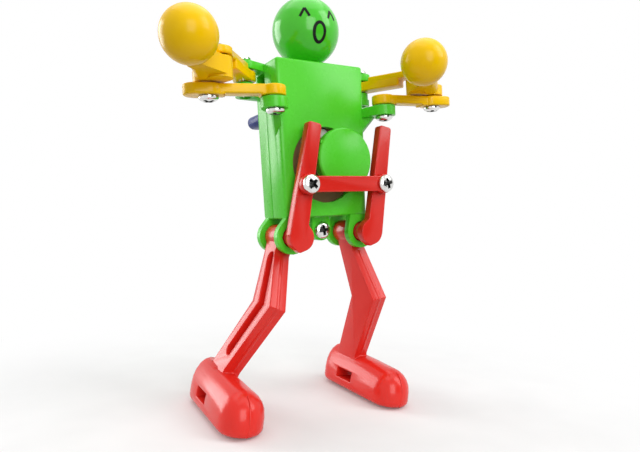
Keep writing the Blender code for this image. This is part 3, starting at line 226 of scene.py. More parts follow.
# %% Make the metals and the ink
rubbed, given, out = new_group(
    "rubbed_metal",
    [("Colour", "Color", (1, 1, 1, 1)), ("Dull Colour", "Color", (1, 1, 1, 1)),
     ("Bright", "Float", 0.1), ("Dull", "Float", 0.3)],
    [("Colour", "Color"), ("Roughness", "Float"), ("Height", "Float")])
where = rubbed.nodes.new("ShaderNodeTexCoord").outputs["Object"]
stretch = rubbed.nodes.new("ShaderNodeMapping")
stretch.inputs["Scale"].default_value = (1.0, 0.25, 1.0)
rubbed.links.new(where, stretch.inputs["Vector"])
marks = noise(rubbed, stretch.outputs["Vector"], 2600, 4.0, 0.7)
rubbed.links.new(spread(rubbed, marks, given["Bright"], given["Dull"]), out["Roughness"])
share = spread(rubbed, noise(rubbed, where, 500, 2.0), 0.0, 1.0)
rubbed.links.new(blend_colours(rubbed, share, given["Colour"], given["Dull Colour"]), out["Colour"])
rubbed.links.new(marks, out["Height"])


def metal(name, colour, dull_colour, bright, dull):
    values = {"Colour": (*colour, 1), "Dull Colour": (*dull_colour, 1), "Bright": bright, "Dull": dull}
    material, shader = surfaced(name, rubbed, values, bump=0.04, depth=0.05 * mm)
    shader.inputs["Metallic"].default_value = 1.0
    return material


plated = metal("plated screw", (0.80, 0.80, 0.79), (0.62, 0.61, 0.59), 0.08, 0.22)
dark_wire = metal("dark drawn pin", (0.07, 0.07, 0.07), (0.11, 0.10, 0.09), 0.25, 0.4)
spring_steel = metal("bare steel", (0.50, 0.50, 0.52), (0.40, 0.41, 0.43), 0.2, 0.35)
brass = metal("turned brass", (0.66, 0.44, 0.15), (0.55, 0.35, 0.11), 0.18, 0.32)
# Painted shade: this near-black metal stands in for the shade inside the screw's cross.
painted_cross_shade = metal("painted shade in cross recess", (0.045, 0.045, 0.045), (0.10, 0.10, 0.095), 0.3, 0.5)
ink = plastic("black face print", (0.008, 0.008, 0.008), (0.014, 0.013, 0.012),
              gloss=(0.32, 0.45), specular=0.1, bump=0.08)
print("metals:", [m.name for m in (plated, dark_wire, spring_steel, brass, painted_cross_shade)], "and", ink.name)

# %% [markdown]
# ## Smooth shading that keeps sharp corners
#
# CAD faces come in as flat triangles with fixed normals. Rounded faces should look
# round, and real corners should stay crisp. Shading by hand would be lost when the
# edges are rounded by a modifier, so a small geometry node tree does it last: it drops
# the fixed normals, smooths all faces, and keeps every edge sharp that bends enough.

# %% Build the smoothing tree
SHARP_BEND = math.radians(33)

smooth_tree = bpy.data.node_groups.new("smooth_over_small_angles", "GeometryNodeTree")
smooth_tree.interface.new_socket("Geometry", in_out="INPUT", socket_type="NodeSocketGeometry")
smooth_tree.interface.new_socket("Geometry", in_out="OUTPUT", socket_type="NodeSocketGeometry")
enter = smooth_tree.nodes.new("NodeGroupInput")
forget = smooth_tree.nodes.new("GeometryNodeRemoveAttribute")
forget.inputs["Name"].default_value = "custom_normal"
faces = smooth_tree.nodes.new("GeometryNodeSetShadeSmooth")
edges = smooth_tree.nodes.new("GeometryNodeSetShadeSmooth")
edges.domain = "EDGE"
edges.inputs["Shade Smooth"].default_value = False
bend = smooth_tree.nodes.new("GeometryNodeInputMeshEdgeAngle")
sharp = smooth_tree.nodes.new("FunctionNodeCompare")
sharp.operation = "GREATER_THAN"
sharp.inputs["B"].default_value = SHARP_BEND
leave = smooth_tree.nodes.new("NodeGroupOutput")
smooth_tree.links.new(enter.outputs[0], forget.inputs["Geometry"])
smooth_tree.links.new(forget.outputs["Geometry"], faces.inputs["Geometry"])
smooth_tree.links.new(faces.outputs["Geometry"], edges.inputs["Geometry"])
smooth_tree.links.new(bend.outputs["Unsigned Angle"], sharp.inputs["A"])
smooth_tree.links.new(sharp.outputs["Result"], edges.inputs["Selection"])
smooth_tree.links.new(edges.outputs["Geometry"], leave.inputs[0])
print("smoothing tree nodes:", len(smooth_tree.nodes))

# %% [markdown]
# ## Mouldings that keep their CAD shape
#
# The shells, legs, levers, bars and cam already have the right shape, but a real
# mould leaves a small round on every edge, and that round is what catches the light.
# Each of these nodes keeps its mesh and gets a stack of modifiers: weld the corners,
# merge flat facets, round the edges, and smooth. Most rounds are set by the width of
# the new face. On the shells they are measured along the neighbouring edges, because
# some corners there are so narrow that the first way throws points off the surface.

# %% Round the edges of the CAD mouldings
def finish_node(name, material, edge=0.0, measure="WIDTH"):
    """Give a CAD node its finish, and round its edges if edge isn't zero."""
    item = nodes[name]
    item.data.materials.clear()
    item.data.materials.append(material)
    weld = item.modifiers.new("weld", "WELD")
    weld.merge_threshold = 0.003 * mm
    flat = item.modifiers.new("flat", "DECIMATE")
    flat.decimate_type = "DISSOLVE"
    flat.angle_limit = math.radians(0.5)
    if edge:
        rounding = item.modifiers.new("rounding", "BEVEL")
        rounding.offset_type = measure
        rounding.width = edge
        rounding.segments = 3
        rounding.limit_method = "ANGLE"
        rounding.angle_limit = math.radians(35)
        rounding.use_clamp_overlap = False
    smooth = item.modifiers.new("smooth", "NODES")
    smooth.node_group = smooth_tree


for name in ("front_shell", "rear_shell", "cam_disc"):
    finish_node(name, green, edge=0.2 * mm, measure="ABSOLUTE")
for name in ("leg_left", "leg_right", "lever_left", "lever_right", "link_bar"):
    finish_node(name, red, edge=0.27 * mm)
for side in ("left", "right"):
    finish_node("front_bar_" + side, yellow, edge=0.48 * mm)
    finish_node("rear_bar_" + side, yellow, edge=0.42 * mm)
    finish_node("elbow_pin_" + side, dark_wire, edge=0.17 * mm)
finish_node("winding_knob", blue, edge=0.2 * mm)
finish_node("motor_front_plate", brown)
finish_node("motor_rear_plate", yellow)
finish_node("great_wheel", white)
finish_node("transfer_gear", white)
finish_node("output_shaft", brass)
finish_node("mainspring", spring_steel)
finish_node("winding_arbor", spring_steel)
print("CAD nodes with a finish:", sum(bool(item.modifiers) for item in nodes.values()))

# %% [markdown]
# ## The head
#
# The head is a ball on a short neck, with a flange that the two shells clamp. A CAD
# ball of flat facets would show at its outline, and a subdivided one would drift from
# its size, so the scene turns a finer one from a profile of points spun about the
# neck's axis, in the same place. The turn of each piece goes into its mesh, so its
# box is as tight as the piece.

# %% Turn the head
HEAD_RADIUS = 8.2 * mm
HEAD_CENTRE = Vector((0, 6.5 * mm, 45.4 * mm))
BODY_HEIGHT = 36.7 * mm
NECK_RADIUS = 2.7 * mm
FLANGE_RADIUS = 3.6 * mm
FLANGE_THICK = 0.8 * mm
FLANGE_DROP = 1.65 * mm


def show(name, bm, matrix, material, body):
    """Make an object of a finished bmesh, smooth it, colour it and hang it on its CAD body."""
    bm.transform(matrix.to_3x3().to_4x4())
    bmesh.ops.recalc_face_normals(bm, faces=bm.faces)
    mesh = bpy.data.meshes.new(name)
    bm.to_mesh(mesh)
    bm.free()
    mesh.shade_smooth()
    mesh.set_sharp_from_angle(angle=math.radians(40))
    mesh.materials.append(material)
    item = bpy.data.objects.new(name, mesh)
    bpy.context.scene.collection.objects.link(item)
    item.matrix_world = Matrix.Translation(matrix.translation)
    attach(item, body)
    return item


def spun(profile, count):
    """Closed surface from (radius, height) points spun about Z."""
    bm = bmesh.new()
    turns = [2 * math.pi * i / count for i in range(count)]
    rings = []
    for radius, height in profile:
        around = turns if radius else turns[:1]
        rings.append([bm.verts.new((radius * math.cos(a), radius * math.sin(a), height)) for a in around])
    for lower, upper in zip(rings, rings[1:]):
        for i in range(count):
            j = (i + 1) % count
            corners = [lower[i % len(lower)], lower[j % len(lower)]]
            corners += [upper[j % len(upper)], upper[i % len(upper)]]
            bm.faces.new(list(dict.fromkeys(corners)))
    return bm


def ball_points(radius, start, steps, middle=0.0):
    """Profile of a ball from an angle above its lowest point up to its top."""
    angles = [start + (math.pi - start) * i / steps for i in range(steps)]
    points = [(radius * math.sin(a), middle - radius * math.cos(a)) for a in angles]
    return points + [(0, middle + radius)]


flange = BODY_HEIGHT - FLANGE_DROP - HEAD_CENTRE.z
profile = [(0, flange - FLANGE_THICK), (FLANGE_RADIUS, flange - FLANGE_THICK)]
profile += [(FLANGE_RADIUS, flange), (NECK_RADIUS, flange)]
profile += ball_points(HEAD_RADIUS, math.asin(NECK_RADIUS / HEAD_RADIUS), 40)
head_frame = robot @ Matrix.Translation(HEAD_CENTRE)
head = show("head_ball", spun(profile, 72), head_frame, gloss_green, "body")
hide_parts("head")
print("head faces:", len(head.data.polygons))

# %% [markdown]
# ## The printed face
#
# Two angled strokes for eyes and an open oval for the mouth, printed on the ball. A
# print could be a texture, but strokes of real ink thickness stay sharp at any size.
# Each stroke follows a path of longitudes and latitudes over the ball, in degrees.

# %% Print the face
FACE_TURN = -6.0
INK = 0.03 * mm
EYE_ASIDE = 25.0
EYE_HALF = 8.0
EYE_FOOT = 7.5
EYE_TOP = 22.5
EYE_STROKE = 0.62 * mm
MOUTH_HALF = 10.0
MOUTH_TALL = 15.5
MOUTH_DROP = 17.0
MOUTH_STROKE = 0.75 * mm


def on_head(longitude, latitude):
    a, b = math.radians(longitude + FACE_TURN), math.radians(latitude)
    return Vector((math.sin(a) * math.cos(b), -math.cos(a) * math.cos(b), math.sin(b)))


def stroke(name, path, width, closed=False):
    """Band of ink along a path over the head."""
    bm = bmesh.new()
    count = len(path)
    rows = []
    for i, spot in enumerate(path):
        before = path[(i - 1) % count] if closed or i else path[i]
        after = path[(i + 1) % count] if closed or i < count - 1 else path[i]
        middle = on_head(*spot)
        along = (on_head(*after) - on_head(*before)).normalized()
        across = middle.cross(along).normalized() * width / 2
        row = []
        for reach, rise in ((-1, -2), (-1, 1), (0, 1.2), (1, 1), (1, -2)):
            corner = (middle * HEAD_RADIUS + across * reach).normalized()
            row.append(bm.verts.new(corner * (HEAD_RADIUS + INK * rise)))
        rows.append(row)
    pairs = list(zip(rows, rows[1:])) + ([(rows[-1], rows[0])] if closed else [])
    for first, second in pairs:
        for i in range(5):
            j = (i + 1) % 5
            bm.faces.new((first[i], first[j], second[j], second[i]))
    if not closed:
        bm.faces.new(rows[0][::-1])
        bm.faces.new(rows[-1])
    return show(name, bm, head_frame, ink, "body")


def straight(first, second, steps=10):
    pick = [i / steps for i in range(steps + 1)]
    return [tuple(a + (b - a) * s for a, b in zip(first, second)) for s in pick]


strokes = []
for label, middle in (("right", -EYE_ASIDE), ("left", EYE_ASIDE)):
    for half, foot in (("a", middle - EYE_HALF), ("b", middle + EYE_HALF)):
        path = straight((foot, EYE_FOOT), (middle, EYE_TOP))
        strokes.append(stroke("eye_%s_%s" % (label, half), path, EYE_STROKE))
turns = [2 * math.pi * i / 48 for i in range(48)]
oval = [(MOUTH_HALF * math.cos(a), MOUTH_TALL * math.sin(a) - MOUTH_DROP) for a in turns]
strokes.append(stroke("mouth", oval, MOUTH_STROKE, closed=True))
print("face strokes:", len(strokes))

# %% [markdown]
# ## The shape of a screw
#
# Every pivot and the body are held by one size of screw with a domed head and a cross
# for the driver. The head is turned as a fine profile. The cross could be drawn into
# the mesh by hand, but a tapered four-winged tool and Blender's exact Boolean cut it
# the way the real one is punched.

# %% Shape a screw and the tool that cuts its cross
SCREW_HEAD = 2.1 * mm
SCREW_TALL = 1.1 * mm
SCREW_WALL = 0.3 * mm
SCREW_RIM = 0.1 * mm
SCREW_TIP = 0.8 * mm
SHANK = 1.1 * mm
DOME_POWER = 0.8
CROSS_REACH = 1.6 * mm


def screw_mesh(length):
    """Screw with its head on z = 0 and its shank pointing down."""
    profile = [(0, -length), (SHANK * 0.15, -length), (SHANK, SCREW_TIP - length), (SHANK, 0)]
    profile += [(SCREW_HEAD - SCREW_RIM, 0), (SCREW_HEAD, SCREW_RIM), (SCREW_HEAD, SCREW_WALL)]
    for i in range(1, 12):
        angle = math.radians(90 * i / 12)
        radius = SCREW_HEAD * math.cos(angle) ** DOME_POWER
        profile.append((radius, SCREW_WALL + (SCREW_TALL - SCREW_WALL) * math.sin(angle)))
    return spun(profile + [(0, SCREW_TALL)], 48)


def cross_tool():
    """Four tapered wings that meet in the middle, point down."""
    bm = bmesh.new()
    foot = (0.1 * mm, 0.7 * mm, 0.26 * mm)
    top = (SCREW_TALL + 0.3 * mm, CROSS_REACH, 0.44 * mm)
    rings = []
    for height, reach, half in (foot, top):
        ring = []
        for quarter in range(4):
            turn = Matrix.Rotation(quarter * math.pi / 2, 3, "Z")
            for x, y in ((half, -half), (reach, -half), (reach, half)):
                ring.append(bm.verts.new(turn @ Vector((x, y, height))))
        rings.append(ring)
    low, high = rings
    for i in range(12):
        j = (i + 1) % 12
        bm.faces.new((low[i], low[j], high[j], high[i]))
    bm.faces.new(low[::-1])
    bm.faces.new(high)
    return bm


def combine(first, second, operation):
    """Boolean of two bmeshes: DIFFERENCE or UNION."""
    items = []
    for name, part in (("first", first), ("second", second)):
        bmesh.ops.recalc_face_normals(part, faces=part.faces)
        mesh = bpy.data.meshes.new(name)
        part.to_mesh(mesh)
        part.free()
        items.append(bpy.data.objects.new(name, mesh))
        bpy.context.scene.collection.objects.link(items[-1])
    step = items[0].modifiers.new("boolean", "BOOLEAN")
    step.operation = operation
    step.solver = "EXACT"
    step.object = items[1]
    bpy.context.view_layer.update()
    done = bmesh.new()
    done.from_object(items[0], bpy.context.evaluated_depsgraph_get())
    for item in items:
        bpy.data.objects.remove(item, do_unlink=True)
    return done


print("screw head in mm: %.1f wide, %.1f tall" % (2 * SCREW_HEAD / mm, SCREW_TALL / mm))

# %% [markdown]
# ## Nine screws in their places
#
# Each screw stands where its CAD node stands: the node's own points give its place
# along the axis, so nothing is typed twice. The faces inside the cross get a second,
# rougher material whose near-black colour is painted shade for the recess.

# %% Cut and place the screws
def dome_height(radius):
    """Height of the screw head's dome at a distance from its axis."""
    share = min(radius / SCREW_HEAD, 1.0) ** (1 / DOME_POWER)
    return SCREW_WALL + (SCREW_TALL - SCREW_WALL) * math.sqrt(1 - share * share)


def paint_shade_in_cross(bm):
    """Mark the faces inside the cross for the dark metal, which is painted shade in the recess."""
    for face in bm.faces:
        middle = face.calc_center_median()
        reach = math.hypot(middle.x, middle.y)
        sunk = dome_height(reach) - middle.z > 0.04 * mm
        if sunk and reach < CROSS_REACH and middle.z > SCREW_RIM / 2:
            face.material_index = 1


def screw_frame(name, direction, twist):
    """Where a CAD screw's head rests, with -Z along its shank, and the shank's length."""
    points = [v.co for v in nodes[name].data.vertices]
    ahead = direction.normalized()
    low = min(p.dot(ahead) for p in points)
    high = max(p.dot(ahead) for p in points)
    lowest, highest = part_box(name)
    middle = (lowest + highest) / 2
    seat = middle + ahead * (low + SCREW_TALL - middle.dot(ahead))
    turn = (-ahead).to_track_quat("Z", "Y").to_matrix().to_4x4()
    turn = turn @ Matrix.Rotation(math.radians(twist), 4, "Z")
    return Matrix.Translation(seat) @ turn, high - low - SCREW_TALL


bodies = frame["record"]["behaviour"]["bodies"]
body_of = {node: body for body, members in bodies.items() for node in members}
screws = {"body_screw": (backwards, 12)}
screws["link_screw_left"] = (backwards, 20)
screws["link_screw_right"] = (backwards, 50)
for side, twist in (("left", 15), ("right", 40)):
    screws["shoulder_screw_" + side] = (robot_up, twist)
    screws["wrist_screw_" + side] = (robot_up, twist + 20)
    screws["rear_screw_" + side] = (-robot_up, twist + 35)
for name, (direction, twist) in screws.items():
    place, length = screw_frame(name, direction, twist)
    cut = combine(screw_mesh(length), cross_tool(), "DIFFERENCE")
    # Painted shade: the faces inside the cross take the dark second material.
    paint_shade_in_cross(cut)
    made = show(name.replace("screw", "cross_screw"), cut, place, plated, body_of[name])
    made.data.materials.append(painted_cross_shade)
    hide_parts(name)
print("screws:", len(screws))

# %% [markdown]
# ## The ball and stem of a fist
#
# Each fist is a ball on a stem, with a small base that the arm bars screw to. The ball
# and its stem are one turned profile, tilted up along the stem. Where they meet the
# mould has a hollow round, which a curve with one control point draws: it leaves the
# stem along its side and lands on the ball along its skin.

# %% Turn the ball and stem
FIST_LOW = 29.2 * mm
BALL_RADIUS = 5.24 * mm
BALL_CENTRE = Vector((0, -15.7 * mm, FIST_LOW + 4.6 * mm))
STEM_START = Vector((0, -2.2 * mm, FIST_LOW + 1.8 * mm))
STEM_RADIUS = 2.1 * mm
STEM_END_RADIUS = 2.21 * mm
BLEND_REACH = 1.14 * mm
BLEND_MEET = math.radians(37)


def ball_and_stem():
    run = BALL_CENTRE - STEM_START
    far = run.length
    skin = Vector((math.cos(BLEND_MEET), math.sin(BLEND_MEET)))
    ball_end = Vector((BALL_RADIUS * skin.y, far - BALL_RADIUS * skin.x))
    corner = ball_end - skin * BLEND_REACH
    stem_end = Vector((STEM_END_RADIUS, corner.y - BLEND_REACH))
    profile = [(0, 0), (STEM_RADIUS, 0)]
    for i in range(9):
        t = i / 8
        spot = stem_end * (1 - t) ** 2 + corner * (2 * t * (1 - t)) + ball_end * t * t
        profile.append((spot.x, spot.y))
    profile += ball_points(BALL_RADIUS, BLEND_MEET, 44, far)[1:]
    bm = spun(profile, 64)
    tilt = run.to_track_quat("Z", "Y").to_matrix().to_4x4()
    bm.transform(Matrix.Translation(STEM_START) @ tilt)
    return bm


print("fist length in mm: %.1f" % ((BALL_RADIUS - BALL_CENTRE.y) / mm))

# %% [markdown]
# ## The base of a fist
#
# The base is a boss over the wrist screw, a lug for the elbow pin, a flat web between
# them, and a rib that runs from the lug into the ball. Each is a plain closed form, so
# they are made alone and joined with Booleans, because the real fist is one moulding.
# The studs start a little low, and one flat cut trims them all to the same face.

# %% Shape the base and join the fists
FIST_LINK = 4.5 * mm
STEM_ANGLE = math.radians(47)
BOSS_RADIUS = 2.9 * mm
BOSS_TALL = 2.5 * mm
LUG_RADIUS = 2.5 * mm
LUG_TALL = 4.3 * mm
WEB_TALL = 2.3 * mm
WEB_BOSS_END = 2.65 * mm
WEB_LUG_END = 2.4 * mm
RIB_FOOT = 0.5 * mm
RIB_TALL = 4.1 * mm
RIB_REACH = 11 * mm
RIB_BALL_END = 1.6 * mm
SPARE = 0.1 * mm
TRIM = 9 * mm


def fist_frame(side, hand):
    """Frame on the fist's outer pivot, with -Y along the stem and Z along the robot's up."""
    outer = robot.inverted() @ Vector(joints["wrist_" + side]["pos_m"])
    low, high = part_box("elbow_pin_" + side)
    pin = robot.inverted() @ ((low + high) / 2)
    link = Vector((pin.x - outer.x, pin.y - outer.y, 0)).normalized()
    back = -(Matrix.Rotation(hand * STEM_ANGLE, 3, "Z") @ link)
    up = Vector((0, 0, 1))
    return robot @ axes((outer.x, outer.y, 0), back.cross(up), back, up)


def stud(radius, low, high, place=(0, 0), edge=0.25 * mm):
    """Upright round stud with a rounded top edge."""
    profile = [(0, low), (radius, low)]
    for i in range(5):
        angle = math.radians(90 * i / 4)
        profile.append((radius - edge + edge * math.cos(angle), high - edge + edge * math.sin(angle)))
    bm = spun(profile + [(0, high)], 40)
    bm.transform(Matrix.Translation((*place, 0)))
    return bm


def pad(start, end, start_radius, end_radius, low, high, edge=0.2 * mm):
    """Flat web with round ends between two places, and a chamfered top edge."""
    bm = bmesh.new()
    heading = math.atan2(end[1] - start[1], end[0] - start[0])
    half_turn = [math.radians(180 * i / 16 - 90) for i in range(17)]
    arc = [(end, end_radius, heading + a) for a in half_turn]
    arc += [(start, start_radius, heading + math.pi + a) for a in half_turn]
    rings = []
    for height, inset in ((low, 0), (high - edge, 0), (high, edge)):
        ring = []
        for (x, y), radius, angle in arc:
            reach = radius - inset
            ring.append(bm.verts.new((x + reach * math.cos(angle), y + reach * math.sin(angle), height)))
        rings.append(ring)
    for lower, upper in zip(rings, rings[1:]):
        for i in range(len(arc)):
            j = (i + 1) % len(arc)
            bm.faces.new((lower[i], lower[j], upper[j], upper[i]))
    bm.faces.new(rings[0][::-1])
    bm.faces.new(rings[-1])
    return bm


def block(low, high):
    """Box between two corners, used as a cutter."""
    bm = bmesh.new()
    bmesh.ops.create_cube(bm, size=1.0)
    size = Vector(high) - Vector(low)
    bm.transform(Matrix.Translation((Vector(low) + Vector(high)) / 2) @ Matrix.Diagonal((*size, 1)))
    return bm


for side, hand in (("left", 1), ("right", -1)):
    pin = (-hand * FIST_LINK * math.sin(STEM_ANGLE), -FIST_LINK * math.cos(STEM_ANGLE))
    web = pad((0, 0), pin, WEB_BOSS_END, WEB_LUG_END, FIST_LOW, FIST_LOW + WEB_TALL)
    boss = stud(BOSS_RADIUS, FIST_LOW - SPARE, FIST_LOW + BOSS_TALL)
    lug = stud(LUG_RADIUS, FIST_LOW - 2 * SPARE, FIST_LOW + LUG_TALL, pin)
    rib = pad(pin, (0, -RIB_REACH), WEB_LUG_END, RIB_BALL_END, FIST_LOW + RIB_FOOT, FIST_LOW + RIB_TALL)
    fist = web
    for form in (boss, lug, rib, ball_and_stem()):
        fist = combine(fist, form, "UNION")
    trim = block((-TRIM, -TRIM, FIST_LOW - TRIM), (TRIM, TRIM, FIST_LOW))
    fist = combine(fist, trim, "DIFFERENCE")
    body = body_of["fist_" + side]
    made = show("ball_fist_" + side, fist, fist_frame(side, hand), yellow, body)
    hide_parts("fist_" + side)
    print(made.name, "faces:", len(made.data.polygons))

# %% [markdown]
# ## Marks of the mould
#
# Where the two halves of a mould meet, the plastic squeezes into a thin raised line.
# It runs down the front of each leg, and over the toe and heel of each shoe. A bump
# would vanish at the outline, so each line is a low band swept along stations: a
# place, the direction across the line there and the direction out of the surface.

# %% Sweep a band down a leg
SWAY = math.radians(11.5)
SPLAY = math.radians(14.6)
HIP_X = 9.8 * mm
LEG_FRONT = {"ring": (2.1 * mm, -4.9 * mm), "knee": (-4.8 * mm, -16.5 * mm), "ankle": (5.2 * mm, -32.4 * mm)}


def band(path, half, rise, sink=0.12 * mm):
    """Low ridge along (place, across, outward) stations."""
    bm = bmesh.new()
    section = ((-1.0, -sink), (-1.0, 0.0), (-0.45, rise), (0.45, rise), (1.0, 0.0), (1.0, -sink))
    rows = []
    for place, across, outward in path:
        spots = [place + across * half * reach + outward * height for reach, height in section]
        rows.append([bm.verts.new(spot) for spot in spots])
    for first, second in zip(rows, rows[1:]):
        for i in range(6):
            j = (i + 1) % 6
            bm.faces.new((first[i], first[j], second[j], second[i]))
    bm.faces.new(rows[0][::-1])
    bm.faces.new(rows[-1])
    return bm


def leg_frame(sign):
    return robot @ Matrix.Translation((sign * HIP_X, 0, -HIP_DROP)) @ Matrix.Rotation(SWAY, 4, "Y")


def leg_line(sign):
    """Stations down the leg's front, in the leg's own plane."""
    turn = Matrix.Rotation(-sign * SPLAY, 3, "Y")
    spots = [Vector((0, *spot)) for spot in LEG_FRONT.values()]
    runs = [(b - a).normalized() for a, b in zip(spots, spots[1:])]
    thigh, shin = [Vector((0, run.z, -run.y)) for run in runs]
    knee = (thigh + shin) / (1 + thigh.dot(shin))
    across = turn @ Vector((1, 0, 0))
    return [(turn @ spot, across, turn @ out) for spot, out in zip(spots, (thigh, knee, shin))]


print("stations down a leg:", len(leg_line(1)))

# %% [markdown]
# ## Lines over the shoes
#
# A shoe's end is half a dome on a low upright side, with a rounded edge at the sole.
# The line follows that outline in the shoe's middle plane, so its stations come from
# the same sizes as the shoe: first down the dome, then round the sole's edge.

# %% Raise the mould lines
ANKLE_DOWN = 32.8 * mm
ANKLE_BACK = 9.35 * mm
SHOE_OUT = 1.3 * mm
SOLE_DROP = 41.2 * mm
HEEL_BACK = 6.2 * mm
TOE_OUT = math.radians(1.0)
TOE_RADIUS, TOE_RIDGE = 4.9 * mm, 8.6 * mm
HEEL_RADIUS, HEEL_RIDGE = 4.2 * mm, 10.2 * mm
SHOE_SPAN = 20.8 * mm
SHOE_SIDE = 3.4 * mm
SOLE_EDGE = 1.4 * mm


def shoe_line(sign, toe):
    """Stations over the toe or the heel, in the middle plane of the shoe."""
    radius, end, ridge = (TOE_RADIUS, -SHOE_SPAN, TOE_RIDGE) if toe else (HEEL_RADIUS, 0, HEEL_RIDGE)
    away = -1 if toe else 1
    dome = ridge - SHOE_SIDE
    outline = []
    for i in range(13):
        angle = math.radians(62 * (1 - i / 12))
        spot = (end + away * radius * math.cos(angle), SHOE_SIDE + dome * math.sin(angle))
        outline.append((spot, (away * math.cos(angle) / radius, math.sin(angle) / dome)))
    for i in range(1, 6):
        angle = math.radians(60 * i / 5)
        reach = radius - SOLE_EDGE + SOLE_EDGE * math.cos(angle)
        spot = (end + away * reach, SOLE_EDGE - SOLE_EDGE * math.sin(angle))
        outline.append((spot, (away * math.cos(angle), -math.sin(angle))))
    ankle = Vector((sign * (math.sin(SPLAY) * ANKLE_DOWN + SHOE_OUT), ANKLE_BACK, -SOLE_DROP))
    place = Matrix.Translation(ankle) @ Matrix.Rotation(sign * TOE_OUT, 4, "Z")
    place = place @ Matrix.Translation((0, HEEL_BACK, 0))
    turn = place.to_3x3()
    across = turn @ Vector((1, 0, 0))
    spots = [place @ Vector((0, *spot)) for spot, out in outline]
    outwards = [turn @ Vector((0, *out)).normalized() for spot, out in outline]
    return [(spot, across, outward) for spot, outward in zip(spots, outwards)]


lines = []
for side, sign in (("left", 1), ("right", -1)):
    bands = {"mould_line_leg_" + side: band(leg_line(sign), half=0.5 * mm, rise=0.14 * mm)}
    for label, toe in (("toe", True), ("heel", False)):
        bands["mould_line_%s_%s" % (label, side)] = band(shoe_line(sign, toe), half=0.16 * mm, rise=0.07 * mm)
    for name, line in bands.items():
        lines.append(show(name, line, leg_frame(sign), red, body_of["leg_" + side]))
print("mould lines:", len(lines))

# %% [markdown]
# ## The nub on the cam
#
# The cam has a small nub on its rim where the plastic flowed in and was snapped off.
# The stud that shaped the fists serves here too, laid on its side to point outward.

# %% Set the nub on the cam
CAM_AXIS_HEIGHT = 12.4 * mm
CAM_OFFSET = 3.2 * mm
CAM_RISE = math.radians(17)
NUB_TURN = math.radians(148)
NUB_REACH = 7.25 * mm
NUB_FORWARD = 3.3 * mm

cam_middle = Vector((CAM_OFFSET * math.cos(CAM_RISE), 0, CAM_AXIS_HEIGHT + CAM_OFFSET * math.sin(CAM_RISE)))
outward = Vector((math.cos(NUB_TURN), 0, math.sin(NUB_TURN)))
nub_place = cam_middle + outward * NUB_REACH - backwards * NUB_FORWARD
nub_frame = robot @ axes(nub_place, backwards, outward.cross(backwards), outward)
nub = stud(0.5 * mm, -0.3 * mm, 0.45 * mm, edge=0.2 * mm)
show("cam_nub", nub, nub_frame, green, body_of["cam_disc"])
print("cam's middle in mm: x %.2f, z %.2f" % (cam_middle.x / mm, cam_middle.z / mm))

# %% [markdown]
# ## The floor
#
# The photograph is a bright studio shot: white all round, with a soft shadow under
# the shoes. A bare white floor would have to be lit until it clips, and the shadow
# would go. So the paper is lit like the toy near the shoes, and away from them it
# fades into a white of its own that only the camera and mirrors see.

# %% Lay the floor
FADE_START = 0.045
FADE_END = 0.12
OWN_LIGHT_NEAR = 0.05


def camera_light(tree):
    """1 for camera, mirror and glass rays, else 0."""
    path = tree.nodes.new("ShaderNodeLightPath")
    total = path.outputs["Is Camera Ray"]
    for label in ("Is Glossy Ray", "Is Transmission Ray"):
        node = tree.nodes.new("ShaderNodeMath")
        node.operation = "MAXIMUM"
        tree.links.new(total, node.inputs[0])
        tree.links.new(path.outputs[label], node.inputs[1])
        total = node.outputs[0]
    return total


def times(tree, first, second, plus=0.0):
    """First socket times a number or socket, plus a number."""
    node = tree.nodes.new("ShaderNodeMath")
    node.operation = "MULTIPLY_ADD"
    tree.links.new(first, node.inputs[0])
    if isinstance(second, (int, float)):
        node.inputs[1].default_value = second
    else:
        tree.links.new(second, node.inputs[1])
    node.inputs[2].default_value = plus
    return node.outputs[0]


def grey(tree, value):
    """Colour with one value in its three channels."""
    node = tree.nodes.new("ShaderNodeCombineColor")
    for i in range(3):
        tree.links.new(value, node.inputs[i])
    return node.outputs[0]


bm = bmesh.new()
bmesh.ops.create_circle(bm, cap_ends=True, segments=96, radius=1.5)
floor_mesh = bpy.data.meshes.new("floor")
bm.to_mesh(floor_mesh)
bm.free()
floor = bpy.data.objects.new("floor", floor_mesh)
bpy.context.scene.collection.objects.link(floor)
paper, tree, shader = shader_of("white paper")
spot = tree.nodes.new("ShaderNodeTexCoord").outputs["Object"]
grain = spread(tree, noise(tree, spot, 60, 2.0), 0.74, 0.77)
distance = tree.nodes.new("ShaderNodeVectorMath")
distance.operation = "LENGTH"
tree.links.new(spot, distance.inputs[0])
fade = tree.nodes.new("ShaderNodeMapRange")
fade.interpolation_type = "SMOOTHSTEP"
for label, value in (("From Min", FADE_START), ("From Max", FADE_END), ("To Min", 1.0), ("To Max", 0.0)):
    fade.inputs[label].default_value = value
tree.links.new(distance.outputs["Value"], fade.inputs["Value"])
near = fade.outputs["Result"]
tree.links.new(grey(tree, times(tree, grain, near)), shader.inputs["Base Color"])
shader.inputs["Roughness"].default_value = 0.9
shader.inputs["Specular IOR Level"].default_value = 0.0
shader.inputs["Emission Color"].default_value = (1, 1, 1, 1)
own_light = times(tree, near, OWN_LIGHT_NEAR - 1.0, 1.0)
tree.links.new(times(tree, camera_light(tree), own_light), shader.inputs["Emission Strength"])
floor_mesh.materials.append(paper)
print("floor fades to white from %.0f to %.0f mm" % (FADE_START / mm, FADE_END / mm))

# %% [markdown]
# ## The light
#
# A white room fills the shadows: it is pure white to the camera and to mirrors, and
# half as bright as a light. Two soft boxes in front and one overhead light the toy. A
# large one behind on the left grazes the faces turned that way, so they get a pale
# sheen while the slots in the legs stay dark.

# %% Set the white room and the soft boxes
ROOM_LIGHT = 0.5
AIM = Vector((0, 0, 0.05))

